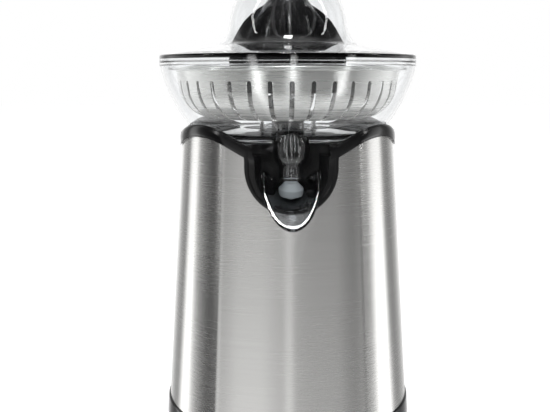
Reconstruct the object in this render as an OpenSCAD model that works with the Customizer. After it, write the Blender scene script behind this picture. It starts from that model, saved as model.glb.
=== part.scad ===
// Electric citrus press: clear dome lid, reamer cone, slotted steel strainer, clear juice bowl
// with a drip-stop spout, and a tapered steel-wrapped motor housing.
// Millimetres. Origin at the middle of the base, on the surface it stands on. Front is -Y, up is +Z.

/* [Housing] */
// Radius of the steel wrap at its bottom edge
wrap_r_bottom = 83.2; // [78:0.2:90]
// Radius of the steel wrap at the bowl platform
wrap_r_platform = 71.1; // [69.5:0.1:74]
// Thickness of the steel wrap
wrap_t = 1; // [0.8:0.1:1.4]
// Angle of the vertical creases, left and right of the front
crease_angle = 35; // [32:0.5:40]
// How far behind the middle the flatter front panel is centred
front_shift = 30; // [20:1:36]
// Height of the bottom edge of the steel wrap
wrap_z = 20; // [16:0.5:26]
// Height of the platform that the bowl stands on
platform_z = 197; // [194:0.5:204]
// Thickness of the platform
platform_t = 3; // [2.4:0.1:4]
// Height of the black rim band above the steel
rim_band = 7.6; // [6:0.1:9]
// How far the rim band and the base band stand proud of the steel
band_proud = 1.1; // [0.6:0.1:1.5]
// Thickness of the rim band, front to back
rim_t = 2.2; // [1.8:0.1:2.4]
// Distance of the rim's two crests from the middle, seen from the front
crest_x = 57.5; // [56:0.1:59]
// Height of the rim's crests above the platform
crest_rise = 12; // [10:0.1:13]
// Slope of the rim down to the spout recess, in degrees
rim_slope = 29; // [26:0.5:31]

/* [Spout recess] */
// Half-width of the U-shaped recess in the steel
recess_r = 28.3; // [26.8:0.1:30]
// Height of the centre of the U's round bottom
recess_z = 184.2; // [183:0.1:185]
// Width of the moulded lip around the recess
recess_lip = 3; // [2:0.1:4]
// Depth of the flared scoop behind the lip
scoop_depth = 12; // [9:0.5:15]
// Gap between the spout's ears and the walls of the recess
ear_gap = 0.5; // [0.4:0.05:1]

/* [Base] */
// Height that the feet lift the base
foot_h = 4; // [3:0.5:6]
// Radius of a rubber foot
foot_r = 8; // [6:0.5:9]
// Distance of the feet from the middle
foot_ring = 62; // [56:1:63]
// Thickness of the base and cover walls
base_wall = 2.4; // [2:0.1:3]

/* [Bowl] */
// Outer radius of the bowl at its rim
bowl_r = 85; // [84:0.1:86]
// Height of the bowl above the platform
bowl_h = 48.7; // [47:0.1:51]
// Wall thickness of the bowl
bowl_t = 2.2; // [1.8:0.1:2.4]
// Radius of the bowl wall's curve, seen from the side
bowl_curve = 98; // [94:0.5:110]
// Clearance between the bowl's wall and the crests of the housing's rim
bowl_gap = 0.35; // [0.3:0.05:0.8]
// Radius of the corner between the bowl's wall and floor
bowl_corner = 9; // [7:0.5:11]
// Height of the ring that the bowl stands on
bowl_foot_h = 3.5; // [2.5:0.1:4.5]
// Distance of the juice outlet from the middle
nozzle_y = 58; // [57:0.1:58.8]
// Outer radius of the outlet's bulb
bulb_r = 11.2; // [10:0.1:11.4]
// Outer radius of the outlet pipe
pipe_r = 7.6; // [7:0.1:8]
// Bore radius of the outlet pipe
pipe_bore = 5.9; // [5.5:0.1:6.1]
// Height of the outlet's mouth above the spout's hinge
mouth_rise = -0.5; // [-0.8:0.1:0.5]

/* [Strainer] */
// Gap between the rims of the bowl and the strainer
strainer_gap = 10.4; // [9.4:0.1:11.4]
// Height of the strainer's wall
strainer_h = 31.8; // [30:0.1:33]
// Thickness of the strainer's sheet
strainer_t = 0.9; // [0.7:0.1:1.2]
// Radius of the corner between the strainer's wall and floor
strainer_corner = 22; // [18:0.5:24]
// Number of slots
slot_count = 36; // [16:2:40]
// Width of a slot
slot_w = 2.6; // [2:0.1:3]
// Radius where the slots end on the floor
slot_inner_r = 54; // [48:1:60]
// Height of the slots' round tops above the strainer's floor
slot_rise = 23.4; // [18:0.2:26]

/* [Reamer cone] */
// Radius of the ribs at the foot of the cone
cone_r = 39.5; // [37:0.1:41]
// Height of the cone from its foot to its tip
cone_h = 67; // [64:0.5:68]
// Radius of the smooth core at the foot
core_r = 34; // [30:0.5:36]
// Radius of the ball at the tip
tip_r = 13; // [11:0.2:14]
// Number of ribs
rib_count = 8; // [6:1:12]
// Thickness of a rib at the foot
rib_w = 5.4; // [4:0.1:7]
// Wall thickness of the cone
cone_wall = 2.6; // [2:0.1:3.2]

/* [Lid] */
// Slope of the lid's flange, in degrees
lid_slope = 10; // [8:0.5:12]
// Radius of the throat where the dome meets the flange
lid_throat = 7; // [5:0.2:8]
// Radius of the dome
dome_r = 41; // [40.5:0.1:43]
// Wall thickness of the lid
lid_t = 2; // [1.6:0.1:2.4]
// Height of the dome's centre above the rim joint
dome_centre = 20.5; // [20:0.1:22]

/* [Spout] */
// Distance of the spout's hinge behind the juice outlet
hinge_back = 8; // [7.5:0.1:8.5]
// Height of the spout's hinge below the platform
hinge_drop = 20; // [19.6:0.1:20.4]
// Half-width of the spout at its hinge
spout_half_w = 17.8; // [17:0.1:19]
// Length of the spout from its hinge to its tip
spout_len = 35; // [32:0.2:37]
// Length of the spout's rounded end, seen from above
spout_tip_len = 22.4; // [18:0.2:24]
// Slope of the spout's floor, in degrees
spout_slope = 30; // [28:0.5:32]
// Wall thickness of the spout
spout_t = 2; // [1.6:0.1:2.2]
// Turn of the spout from down to shut, in degrees
flip_angle = 24; // [20:1:26]
// Radius of the hinge pins
pin_r = 1.6; // [1.4:0.1:2]

/* [Drive] */
// Radius of the drive shaft
shaft_r = 4; // [3.6:0.1:4.4]
// Travel of the shaft when the cone is pressed
press_travel = 2; // [1.6:0.1:2.4]
// Module of the first gear stage
fast_module = 1; // [0.9:0.02:1.02]
// Teeth on the motor pinion
pinion_teeth = 12; // [11:1:13]
// Teeth on the idler's large wheel
idler_teeth = 48; // [44:2:48]
// Module of the second gear stage
slow_module = 1.2; // [1.1:0.02:1.22]
// Teeth on the idler's small wheel
idler_pinion_teeth = 14; // [13:1:14]
// Teeth on the final gear
final_teeth = 56; // [52:2:56]
// Radius of the motor can
motor_r = 24; // [20:0.5:25]
// Length of the motor can
motor_h = 52; // [44:1:58]
// Height of the gearbox floor
gearbox_z = 113; // [111:0.5:116]

/* [Hidden] */
$fn = 96;
eps = 0.01;
small = 0.05;
run_gap = 0.08;
clear_gap = 0.3;
arc_steps = 10;
far = 200;

// Housing section: a tapered round body whose front is a flatter cone of larger radius
taper = (wrap_r_bottom - wrap_r_platform) / (platform_z - wrap_z);
section_top_z = platform_z + 20;
function body_r(z) = wrap_r_bottom - taper * (z - wrap_z);
function front_r(r) = sqrt(r * r + front_shift * front_shift + 2 * r * front_shift * cos(crease_angle));
front_r_low = front_r(body_r(0));
front_r_high = front_r(body_r(section_top_z));
function panel_r(z) = front_r_low + (front_r_high - front_r_low) * z / section_top_z;
function front_depth(z) = panel_r(z) - front_shift;

// Rim profile seen from the front
crest_z = platform_z + crest_rise + small * 2;
crest_in_r = 36;
crest_out_r = 17;
crest_out_angle = 60;
rim_join_x = crest_x - crest_in_r * sin(rim_slope);
rim_join_z = crest_z - crest_in_r * (1 - cos(rim_slope));
rim_low_x = 24.6;
rim_low_z = rim_join_z - (rim_join_x - rim_low_x) * tan(rim_slope);
back_rim_z = platform_z + 4;

// Recess and hinge
hinge_y = nozzle_y - hinge_back;
hinge_z = platform_z - hinge_drop;
spout_reach = hinge_y + spout_len;
niche_half_w = spout_half_w + ear_gap;
niche_back_y = hinge_y - 7.5;
notch_floor_z = platform_z - 5.6;
notch_half_w = 23.5;
notch_back_y = nozzle_y - bulb_r - 1;
pocket_wall = 2.2;

// Bowl
bowl_foot_z = platform_z;
bowl_floor_z = bowl_foot_z + bowl_foot_h;
bowl_rim_z = bowl_foot_z + bowl_h;
bowl_low_r = body_r(crest_z) + band_proud - rim_t - bowl_gap;
bowl_chord = norm([bowl_r - bowl_low_r, bowl_rim_z - crest_z]);
// slope of the wall at its rim, from upright: a round line through the rim and past the crests
bowl_lean = atan2(bowl_r - bowl_low_r, bowl_rim_z - crest_z) - asin(bowl_chord / 2 / bowl_curve);
bowl_cx = bowl_r - bowl_curve * cos(bowl_lean);
bowl_cz = bowl_rim_z + bowl_curve * sin(bowl_lean);
function bowl_wall_r(z) = bowl_cx + sqrt(pow(bowl_curve, 2) - pow(bowl_cz - z, 2));
bowl_corner_z = bowl_floor_z + bowl_corner;
bowl_corner_x = bowl_cx + sqrt(pow(bowl_curve - bowl_corner, 2) - pow(bowl_cz - bowl_corner_z, 2));
bowl_join_angle = asin((bowl_cz - bowl_corner_z) / (bowl_curve - bowl_corner));
bowl_foot_r = 43;
mouth_z = hinge_z + mouth_rise;
bulb_z = platform_z - 11.6;
boss_r = 11;
chimney_gap = 0.7;
chimney_in_r = boss_r + chimney_gap;
chimney_out_r = chimney_in_r + bowl_t;
seat_r = 19;
seat_z = bowl_floor_z + 11.5;
chimney_top_z = seat_z + 14;

// Strainer
strainer_z = seat_z;
strainer_r = bowl_r - strainer_gap;
strainer_low_gap = strainer_gap - 1.3;
strainer_lean = 6;
strainer_corner_z = strainer_z + strainer_corner;
strainer_corner_x = bowl_wall_r(strainer_corner_z) - strainer_low_gap - strainer_corner * cos(strainer_lean);
strainer_rim_z = strainer_z + strainer_h;
hub_r = chimney_out_r + 0.5;
hub_h = 6;
rim_bead = 1.5;

// Shaft and cone
boss_top_z = platform_z + 25;
collar_z = boss_top_z + press_travel + 1.3;
collar_h = 2.7;
collar_r = 6.5;
hub_foot_z = collar_z + collar_h;
cone_foot_z = hub_foot_z + 3;
cone_tip_z = cone_foot_z + cone_h;
drive_hex_r = shaft_r + 0.6;
drive_hex_top = hub_foot_z + 34;
cone_hub_r = drive_hex_r + 2.8;
cone_wide_z = cone_foot_z + 12;
rib_top = cone_h - 21;
tip_z = cone_tip_z - tip_r;
core_half_angle = 30;

// Lid
lid_joint_z = bowl_rim_z + small;
dome_z = lid_joint_z + dome_centre;
lid_corner = 2.4;
lid_corner_z = dome_z - (lid_throat + lid_corner) * cos(lid_slope)
    - (bowl_r - lid_corner - dome_r - lid_throat) * tan(lid_slope);
tongue_gap = 0.6;
tongue_h = 3;

// Gear train
fast_pitch = fast_module / 2;
slow_pitch = slow_module / 2;
idler_distance = slow_pitch * (final_teeth + idler_pinion_teeth);
motor_distance = fast_pitch * (pinion_teeth + idler_teeth);
motor_swing = 58;
motor_x = -motor_distance * sin(motor_swing);
motor_y = idler_distance - motor_distance * cos(motor_swing);
gear_floor_t = 3;
fast_z = gearbox_z + gear_floor_t + 2;
fast_h = 6;
slow_z = fast_z + fast_h + 2;
slow_h = 10;
gearbox_top_z = slow_z + slow_h + 3;
cover_t = 3;
final_hub_r = 10;
pressure_angle = 20;

// Shaft foot and press switch
cup_z = gearbox_z + 2;
cup_r = 7;
shaft_foot_z = cup_z + 3;
shaft_hex_top = gearbox_top_z - 1;
well_depth = 18;
well_floor_t = 2.4;
well_floor_z = gearbox_z - well_depth;
rod_r = 2;
rod_end_z = well_floor_z - well_floor_t - press_travel;
switch_h = 12;

// Housing fixings
post_x = 43;
post_front_y = 14;
post_back_y = 44;
post_r = 5;
screw_r = 1.6;
screw_head_r = 3.2;
screw_head_h = 2.2;
base_cover_z = foot_h + 2;

// ---------------------------------------------------------------- shared shapes

// Points of a round stretch about (cx, cz), from angle a to angle b
function arc(cx, cz, r, a, b, steps = arc_steps) =
    [for (i = [0 : steps]) [cx + r * cos(a + (b - a) * i / steps), cz + r * sin(a + (b - a) * i / steps)]];

// A point turned about the X axis at (y0, z0)
module tilt_at(y0, z0, angle) {
    translate([0, y0, z0]) rotate([angle, 0, 0]) translate([0, -y0, -z0]) children();
}

module tube(r_out, r_in, z_low, z_high) {
    difference() {
        translate([0, 0, z_low]) cylinder(r = r_out, h = z_high - z_low);
        translate([0, 0, z_low - 1]) cylinder(r = r_in, h = z_high - z_low + 2);
    }
}

// Solid of the housing's section between two heights, set in from the steel's outside
module section(z_low, z_high, inset_low, inset_high) {
    intersection() {
        translate([0, 0, z_low])
            cylinder(r1 = body_r(z_low) - inset_low, r2 = body_r(z_high) - inset_high, h = z_high - z_low);
        translate([0, front_shift, z_low])
            cylinder(r1 = panel_r(z_low) - inset_low, r2 = panel_r(z_high) - inset_high,
                h = z_high - z_low);
    }
}

module section_shell(z_low, z_high, inset, thickness) {
    difference() {
        section(z_low, z_high, inset, inset);
        section(z_low - 1, z_high + 1, inset + thickness, inset + thickness);
    }
}

// Extrudes an (x, z) outline along Y, between two distances from the front
module along_y(y_front, y_back) {
    translate([0, y_back, 0]) rotate([90, 0, 0]) linear_extrude(y_back - y_front) children();
}

// Right half of the rim's top line, from the recess out to the side
function rim_line(low_x, low_z, drop) = concat(
    [[low_x, low_z - drop]],
    [for (p = arc(crest_x, crest_z - crest_in_r, crest_in_r, 90 + rim_slope, 90, 6)) [p[0], p[1] - drop]],
    [for (p = arc(crest_x, crest_z - crest_out_r, crest_out_r, 90, 90 - crest_out_angle, 6))
        [p[0], p[1] - drop]]);

// Everything under the rim's top line, on the front half or the back half
module under_rim_half(drop, low_x, low_z) {
    line = rim_line(low_x, low_z, drop);
    for (side = [-1, 1]) scale_x(side)
        polygon(concat([[-eps, 0], [-eps, low_z - drop]], line, [[far, line[len(line) - 1][1]], [far, 0]]));
}

module scale_x(side) {
    if (side < 0) mirror([1, 0, 0]) children();
    else children();
}

back_join_x = rim_join_x - (rim_join_z - back_rim_z) / tan(rim_slope);
module under_rim(drop) {
    along_y(-far, eps) under_rim_half(drop, rim_low_x, rim_low_z);
    along_y(0, far) under_rim_half(drop, back_join_x, back_rim_z);
}

// ---------------------------------------------------------------- steel wrap

module recess_outline(half_w, foot_z) {
    translate([0, foot_z]) circle(r = half_w);
    translate([-half_w, foot_z]) square([2 * half_w, platform_z]);
}

module steel_wrap() {
    color("silver") difference() {
        intersection() {
            section_shell(wrap_z, section_top_z - 1, 0, wrap_t);
            under_rim(rim_band);
        }
        along_y(-far, 0) recess_outline(recess_r + small, recess_z);
    }
}

// ---------------------------------------------------------------- top cover

// Hollow that holds the outlet and the spout: a flared scoop, a niche and a notch in the platform
module recess_hollow(grow) {
    scoop_front = front_depth(recess_z) + band_proud + 2;
    scoop_back = scoop_front - scoop_depth;
    front_r_in = recess_r - recess_lip + grow;
    back_r_in = niche_half_w + grow;
    translate([0, -scoop_back, recess_z]) rotate([90, 0, 0])
        cylinder(r1 = back_r_in, r2 = front_r_in, h = scoop_front - scoop_back);
    translate([0, 0, recess_z]) linear_extrude(platform_z)
        polygon([[-front_r_in, -scoop_front], [front_r_in, -scoop_front],
            [back_r_in, -scoop_back], [-back_r_in, -scoop_back]]);
    along_y(-far, eps - scoop_front) recess_outline(front_r_in, recess_z);
    // niche: a clear gap under the spout's round bed, and room for its ears
    intersection() {
        niche_block(grow, 0, far);
        spout_bed(-clear_gap - grow);
    }
    niche_block(grow, hinge_z - ear_r - 2 * clear_gap - grow, hinge_y + ear_len + clear_gap + grow);
    translate([-notch_half_w - grow, -scoop_front, notch_floor_z - grow])
        cube([2 * (notch_half_w + grow), scoop_front - notch_back_y + grow, platform_z]);
}

module niche_block(grow, floor_z, reach) {
    half_w = niche_half_w + grow;
    translate([-half_w, -reach, floor_z]) cube([2 * half_w, reach - niche_back_y + grow, far + platform_z]);
}

module post_positions() {
    for (side = [-1, 1]) {
        translate([side * post_x, -post_front_y, 0]) children();
        translate([side * post_x, post_back_y, 0]) children();
    }
}

module top_cover() {
    color([0.06, 0.06, 0.065]) difference() {
        union() {
            // rim band above the steel, with a slimmer bead on top
            intersection() {
                section_shell(platform_z - 12, section_top_z - 1, -band_proud, rim_t);
                difference() {
                    under_rim(1.2);
                    under_rim(rim_band - small);
                }
            }
            intersection() {
                section_shell(platform_z - 12, section_top_z - 1, 0.6 - band_proud, rim_t - 1.2);
                difference() {
                    under_rim(0);
                    under_rim(rim_band - small);
                }
            }
            // skirt that the steel slides over
            intersection() {
                section_shell(platform_z - 14, section_top_z - 1, wrap_t + small, 1.8);
                under_rim(3);
            }
            section(platform_z - platform_t, platform_z, wrap_t + 1, wrap_t + 1);
            // pocket of the recess, and the lip that fills the cut-out in the steel
            intersection() {
                recess_hollow(pocket_wall);
                section(platform_z - 50, platform_z, wrap_t + 1, wrap_t + 1);
            }
            intersection() {
                along_y(-far, 0) recess_outline(recess_r - small, recess_z);
                section_shell(platform_z - 60, platform_z - eps, -band_proud * 0.6, wrap_t + 3);
            }
            translate([0, 0, platform_z - 22]) cylinder(r = boss_r + 2, h = 22);
            translate([0, 0, platform_z - eps]) cylinder(r = boss_r, h = boss_top_z - platform_z);
            post_positions() translate([0, 0, gearbox_top_z + cover_t])
                cylinder(r = post_r, h = platform_z - platform_t + 1 - gearbox_top_z - cover_t);
        }
        recess_hollow(0);
        translate([0, 0, platform_z - 23]) cylinder(r = shaft_r + 1.2, h = 60);
        // seats of the upper bush and of the shaft seal
        translate([0, 0, platform_z - 23]) cylinder(r = shaft_r + 3, h = 13);
        translate([0, 0, boss_top_z - 5]) cylinder(r = shaft_r + 3, h = 6);
        post_positions() translate([0, 0, gearbox_top_z + cover_t - 1])
            cylinder(r = screw_r + small, h = 18);
        for (side = [-1, 1]) translate([side * (niche_half_w - 1), -hinge_y, hinge_z])
            rotate([0, side * 90, 0]) cylinder(r = pin_r + small, h = 4);
    }
}

// ---------------------------------------------------------------- base

base_lip_t = 2;
gland_z = foot_h + 10;
gland_r = 4;
screw_boss_r = 4.2;
screw_boss_h = 8;
module base_band() {
    color([0.07, 0.07, 0.075]) difference() {
        union() {
            section(foot_h, foot_h + 3, 1.5 - band_proud, -band_proud);
            section(foot_h + 3 - eps, wrap_z, -band_proud, -band_proud);
            section(wrap_z - eps, wrap_z + 10, wrap_t + small, wrap_t + 0.4);
        }
        section(wrap_z - 1, wrap_z + 11, wrap_t + base_lip_t + small, wrap_t + base_lip_t + 0.5);
        section(base_cover_z + base_wall, wrap_z - 0.5, base_wall, base_wall);
        section(foot_h - 1, base_cover_z + base_wall + 1, base_wall + 2, base_wall + 2);
        translate([0, body_r(gland_z) - 8, gland_z]) rotate([-90, 0, 0])
            cylinder(r = gland_r + small, h = 20);
    }
    // bosses that take the cover's screws, each on a rib from the wall
    color([0.07, 0.07, 0.075]) difference() {
        intersection() {
            cover_screw_positions() translate([0, 0, base_cover_z + base_wall + small]) {
                cylinder(r = screw_boss_r, h = screw_boss_h);
                translate([0, -1.2, 0]) cube([foot_ring / 2, 2.4, screw_boss_h - 1]);
            }
            section(foot_h, wrap_z + 2, base_wall - 0.2, base_wall - 0.2);
        }
        cover_screw_positions() cylinder(r = screw_r + small, h = wrap_z);
    }
}

vent_count = 7;
vent_pitch = 7;
vent_w = 3;
vent_len = 40;
module foot_positions() {
    for (a = [45 : 90 : 315]) rotate([0, 0, a]) translate([foot_ring, 0, 0]) children();
}
module cover_screw_positions() {
    for (a = [20 : 90 : 290]) rotate([0, 0, a]) translate([foot_ring + 3, 0, 0]) children();
}

module bottom_cover() {
    color([0.1, 0.1, 0.105]) difference() {
        union() {
            section(base_cover_z, base_cover_z + base_wall, base_wall + 2.3, base_wall + 2.3);
            foot_positions() translate([0, 0, base_cover_z]) cylinder(r = 5, h = 5);
            translate([-14, 8, base_cover_z]) cube([28, 22, 4]);
        }
        for (i = [0 : vent_count - 1])
            translate([(i - (vent_count - 1) / 2) * vent_pitch - vent_w / 2, -30, base_cover_z - 1])
                cube([vent_w, vent_len - 6, 5]);
        cover_screw_positions() {
            translate([0, 0, base_cover_z - 1]) cylinder(r = screw_r + 0.3, h = 12);
            translate([0, 0, base_cover_z - 1]) cylinder(r = screw_head_r + 0.3, h = 2);
        }
        foot_positions() translate([0, 0, base_cover_z - 1]) cylinder(r = 2.5, h = 10);
    }
}

module rubber_feet() {
    color([0.13, 0.13, 0.13]) foot_positions() {
        cylinder(r1 = foot_r - 1, r2 = foot_r, h = 1);
        translate([0, 0, 1 - eps]) cylinder(r = foot_r, h = base_cover_z - 1 + eps);
        translate([0, 0, base_cover_z - eps]) cylinder(r = 2.5 - small, h = 7);
    }
}

module screw(head_r, length) {
    difference() {
        union() {
            cylinder(r = head_r, h = screw_head_h);
            translate([0, 0, screw_head_h - eps]) cylinder(r = screw_r, h = length);
        }
        for (a = [0, 90]) rotate([0, 0, a]) translate([-2, -0.4, -1]) cube([4, 0.8, 2]);
    }
}

module bottom_screws() {
    color("gray") cover_screw_positions()
        translate([0, 0, base_cover_z + 1 - screw_head_h]) screw(screw_head_r, 7);
}

module cord_gland() {
    wall_in = body_r(gland_z) - base_wall;
    wall_out = body_r(gland_z) + band_proud;
    color([0.08, 0.08, 0.085]) translate([0, 0, gland_z]) rotate([-90, 0, 0]) difference() {
        union() {
            translate([0, 0, wall_in - 3.2]) cylinder(r = gland_r + 1.2, h = 2.6);
            translate([0, 0, wall_in - 1]) cylinder(r = gland_r, h = wall_out - wall_in + 2);
            translate([0, 0, wall_out + clear_gap + 2 * small])
                cylinder(r1 = gland_r + 2, r2 = gland_r + 1, h = 2);
        }
        translate([0, 0, wall_in - 4]) cylinder(r = gland_r - 1.3, h = 14);
    }
}

// ---------------------------------------------------------------- juice bowl

// Outside line of the bowl, from rim to floor, set in by a wall
function bowl_line(inset) = concat(
    arc(bowl_cx, bowl_cz, bowl_curve - inset, -bowl_lean, -bowl_join_angle, 12),
    arc(bowl_corner_x, bowl_corner_z, bowl_corner - inset, -bowl_join_angle - 10, -90, 5));

module bowl_body(inset, floor_z, top_z) {
    line = bowl_line(inset);
    rotate_extrude() polygon(concat([[0, top_z], [line[0][0], top_z]], line, [[0, floor_z]]));
}

module juice_bowl() {
    color([0.86, 0.9, 0.92, 0.4]) difference() {
        union() {
            bowl_body(0, bowl_floor_z, bowl_rim_z);
            difference() {
                translate([0, 0, bowl_foot_z]) cylinder(r = bowl_foot_r, h = bowl_foot_h + 1);
                translate([0, 0, bowl_foot_z - 1]) cylinder(r = bowl_foot_r - bowl_t, h = bowl_foot_h + 2);
            }
            // outlet bulb, pipe and mouth
            translate([0, -nozzle_y, bulb_z]) cylinder(r = bulb_r, h = bowl_floor_z + 2.5 - bulb_z);
            translate([0, -nozzle_y, bowl_floor_z + 2.5 - eps]) cylinder(r1 = bulb_r, r2 = bulb_r - 2, h = 3);
            translate([0, -nozzle_y, bulb_z - 3.5]) cylinder(r1 = pipe_r + 0.4, r2 = bulb_r, h = 3.5 + eps);
            translate([0, -nozzle_y, mouth_z]) cylinder(r = pipe_r, h = bulb_z - mouth_z);
            translate([0, -nozzle_y, mouth_z]) cylinder(r = pipe_r + 0.5, h = 1.4);
            // guide ribs beside the bulb
            for (side = [-1, 1]) translate([side * 14 - 2.5, -nozzle_y - 1, platform_z - 4])
                cube([5, 2, 10]);
        }
        difference() {
            bowl_body(bowl_t, bowl_floor_z + bowl_t, bowl_rim_z + 1);
            cylinder(r = chimney_out_r, h = chimney_top_z);
            cylinder(r = seat_r, h = seat_z);
        }
        translate([0, 0, bowl_foot_z - 1]) cylinder(r = chimney_in_r, h = far);
        translate([0, 0, bowl_foot_z - 1])
            cylinder(r = seat_r - bowl_t, h = seat_z - bowl_foot_z - bowl_t + 1);
        translate([0, -nozzle_y, bulb_z]) cylinder(r = bulb_r - bowl_t, h = bowl_floor_z + 3.5 - bulb_z);
        translate([0, -nozzle_y, bulb_z - 3]) cylinder(r1 = pipe_bore, r2 = bulb_r - bowl_t, h = 3 + eps);
        translate([0, -nozzle_y, mouth_z - 1]) cylinder(r = pipe_bore, h = bulb_z - mouth_z);
    }
}

// ---------------------------------------------------------------- strainer

function strainer_line(inset) = concat(
    [[strainer_r - inset, strainer_rim_z]],
    arc(strainer_corner_x, strainer_corner_z, strainer_corner - inset, -strainer_lean, -90, 10),
    [[hub_r + strainer_t - inset, strainer_z + inset]]);

module strainer_sheet() {
    outer = strainer_line(0);
    inner = strainer_line(strainer_t);
    n = len(inner);
    rotate_extrude() polygon(concat(outer,
        [[hub_r, strainer_z], [hub_r, strainer_z + hub_h], [hub_r + strainer_t, strainer_z + hub_h],
            [hub_r + strainer_t, strainer_z + strainer_t]],
        [for (i = [n - 2 : -1 : 0]) inner[i]]));
}

module slot_cutter() {
    slot_top = slot_rise - slot_w / 2;
    translate([0, -slot_inner_r, strainer_z]) rotate([90, 0, 0]) linear_extrude(strainer_r)
        polygon(concat([[-slot_w / 2, -3], [slot_w / 2, -3]], arc(0, slot_top, slot_w / 2, 0, 180, 6)));
}

module strainer_basket() {
    color([0.72, 0.72, 0.7]) {
        difference() {
            strainer_sheet();
            for (i = [0 : slot_count - 1]) rotate([0, 0, i * 360 / slot_count]) slot_cutter();
        }
        rotate_extrude() translate([strainer_r + strainer_t / 2, strainer_rim_z])
            circle(r = rim_bead, $fn = 24);
    }
}

// ---------------------------------------------------------------- reamer cone

// Smooth core: ball tip, straight flank, then a bulging skirt down to the foot
function core_line(inset) = let(
        flank_z = tip_z + tip_r * sin(core_half_angle),
        flank_r = tip_r * cos(core_half_angle))
    concat(
        [for (p = arc(0, tip_z, tip_r - inset, 90, core_half_angle, 6)) [max(p[0], 0), p[1]]],
        [for (i = [1 : 9]) let(t = i / 9, z = flank_z + (cone_foot_z - flank_z) * t)
            [flank_r + (core_r - flank_r) * sqrt(1 - pow(1 - t, 1.9)) - inset, z]]);

module cone_core(inset, foot_z) {
    line = core_line(inset);
    rotate_extrude() polygon(concat(line, [[line[len(line) - 1][0], foot_z], [0, foot_z]]));
}

// Side view of a rib: a quarter ellipse over an upright foot
function rib_line() = concat(
    [for (i = [0 : 12]) let(a = 90 - 90 * i / 12) [cone_r * cos(a), cone_wide_z + rib_top * sin(a)]],
    [[cone_r, cone_foot_z]]);

module rib_wedge() {
    top_z = cone_wide_z + rib_top;
    rotate([90, 0, 90]) linear_extrude(cone_r + 1)
        polygon([[-rib_w / 2, cone_foot_z - 1], [rib_w / 2, cone_foot_z - 1],
            [rib_w / 4, top_z + 1], [-rib_w / 4, top_z + 1]]);
}

module cone_ribs() {
    intersection() {
        rotate_extrude() polygon(concat(rib_line(), [[0, cone_foot_z]]));
        for (i = [0 : rib_count - 1]) rotate([0, 0, -90 + i * 360 / rib_count]) rib_wedge();
    }
}

module reamer_cone() {
    color([0.05, 0.05, 0.055]) difference() {
        union() {
            difference() {
                union() {
                    cone_core(0, cone_foot_z);
                    cone_ribs();
                }
                cone_core(cone_wall, cone_foot_z - 1);
            }
            translate([0, 0, cone_foot_z]) difference() {
                cylinder(r = cone_r, h = 1.8);
                translate([0, 0, -1]) cylinder(r = core_r - cone_wall, h = 4);
            }
            translate([0, 0, hub_foot_z]) cylinder(r = cone_hub_r, h = cone_tip_z - 8 - hub_foot_z);
            for (a = [0, 60, 120]) rotate([0, 0, a]) intersection() {
                translate([-cone_r, -0.9, cone_foot_z + 2]) cube([2 * cone_r, 1.8, cone_h]);
                cone_core(1, cone_foot_z);
            }
        }
        translate([0, 0, hub_foot_z - 1])
            cylinder(r = drive_hex_r + run_gap, h = drive_hex_top - hub_foot_z + 1.4, $fn = 6);
    }
}

// ---------------------------------------------------------------- lid

function lid_line(inset) = concat(
    [for (p = arc(0, dome_z, dome_r - inset, 90, 0, 14)) [max(p[0], 0), p[1]]],
    arc(dome_r + lid_throat, dome_z, lid_throat + inset, 186, 180 + 90 - lid_slope, 7),
    arc(bowl_r - lid_corner, lid_corner_z, lid_corner - min(inset, lid_corner - 0.4),
        90 - lid_slope, 0, 4));

module dome_lid() {
    outer = lid_line(0);
    inner = lid_line(lid_t);
    tongue_r = bowl_line(bowl_t)[0][0] - tongue_h * tan(bowl_lean + 2) - tongue_gap;
    color([0.88, 0.91, 0.93, 0.35]) difference() {
        rotate_extrude() polygon(concat(outer, [[bowl_r, lid_joint_z], [tongue_r, lid_joint_z],
            [tongue_r, lid_joint_z - tongue_h], [0, lid_joint_z - tongue_h]]));
        rotate_extrude() polygon(concat(inner, [[tongue_r - lid_t, lid_joint_z + 2],
            [tongue_r - lid_t, lid_joint_z - tongue_h - 1], [0, lid_joint_z - tongue_h - 1]]));
    }
}

// ---------------------------------------------------------------- spout

spout_floor_drop = 5.9;
// how far the pouring edge at the tip is cut down under the floor's line
spout_tip_cut = 1.4;
spout_bed_r = 22;
ear_r = 4;
ear_back = 3;
ear_len = 10;
function spout_floor(y) = hinge_z - spout_floor_drop - (y - hinge_y) * tan(spout_slope);

// Plan outline of the spout, set in by a wall: straight sides and an elliptic end
module spout_plan(inset) {
    tip_y = spout_reach - spout_tip_len;
    wide = spout_half_w - inset;
    tip_len = spout_tip_len - inset;
    polygon(concat([[-wide, -hinge_y + ear_back], [wide, -hinge_y + ear_back]],
        [for (p = arc(0, 0, wide, 0, -180, 20)) [p[0], p[1] * tip_len / wide - tip_y]]));
}

// Trough-shaped bed along the sloping floor
module spout_bed(inset) {
    bed_r = spout_bed_r - inset;
    tilt_at(-hinge_y, spout_floor(hinge_y) - spout_t, spout_slope)
        translate([0, -hinge_y, spout_floor(hinge_y) - spout_t]) {
            translate([0, far / 2, spout_bed_r]) rotate([90, 0, 0]) cylinder(r = bed_r, h = far);
            translate([-bed_r, -far / 2, spout_bed_r]) cube([2 * bed_r, far, far]);
        }
}

// Side view: highest at the ears, lowest at the tip
module spout_side() {
    ear_z = hinge_z + ear_r;
    rotate([90, 0, 90]) translate([0, 0, -far / 2]) linear_extrude(far) union() {
        translate([-hinge_y, hinge_z]) circle(r = ear_r);
        polygon([[-hinge_y + ear_back, hinge_z + ear_r * 0.6], [-hinge_y - ear_r / 2, ear_z - 0.6],
            [-hinge_y - 3 * ear_r, hinge_z - ear_r / 2],
            [-spout_reach - 1, spout_floor(spout_reach) - spout_tip_cut],
            [-spout_reach - 1, 0], [-hinge_y + ear_back, 0]]);
    }
}

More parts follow.
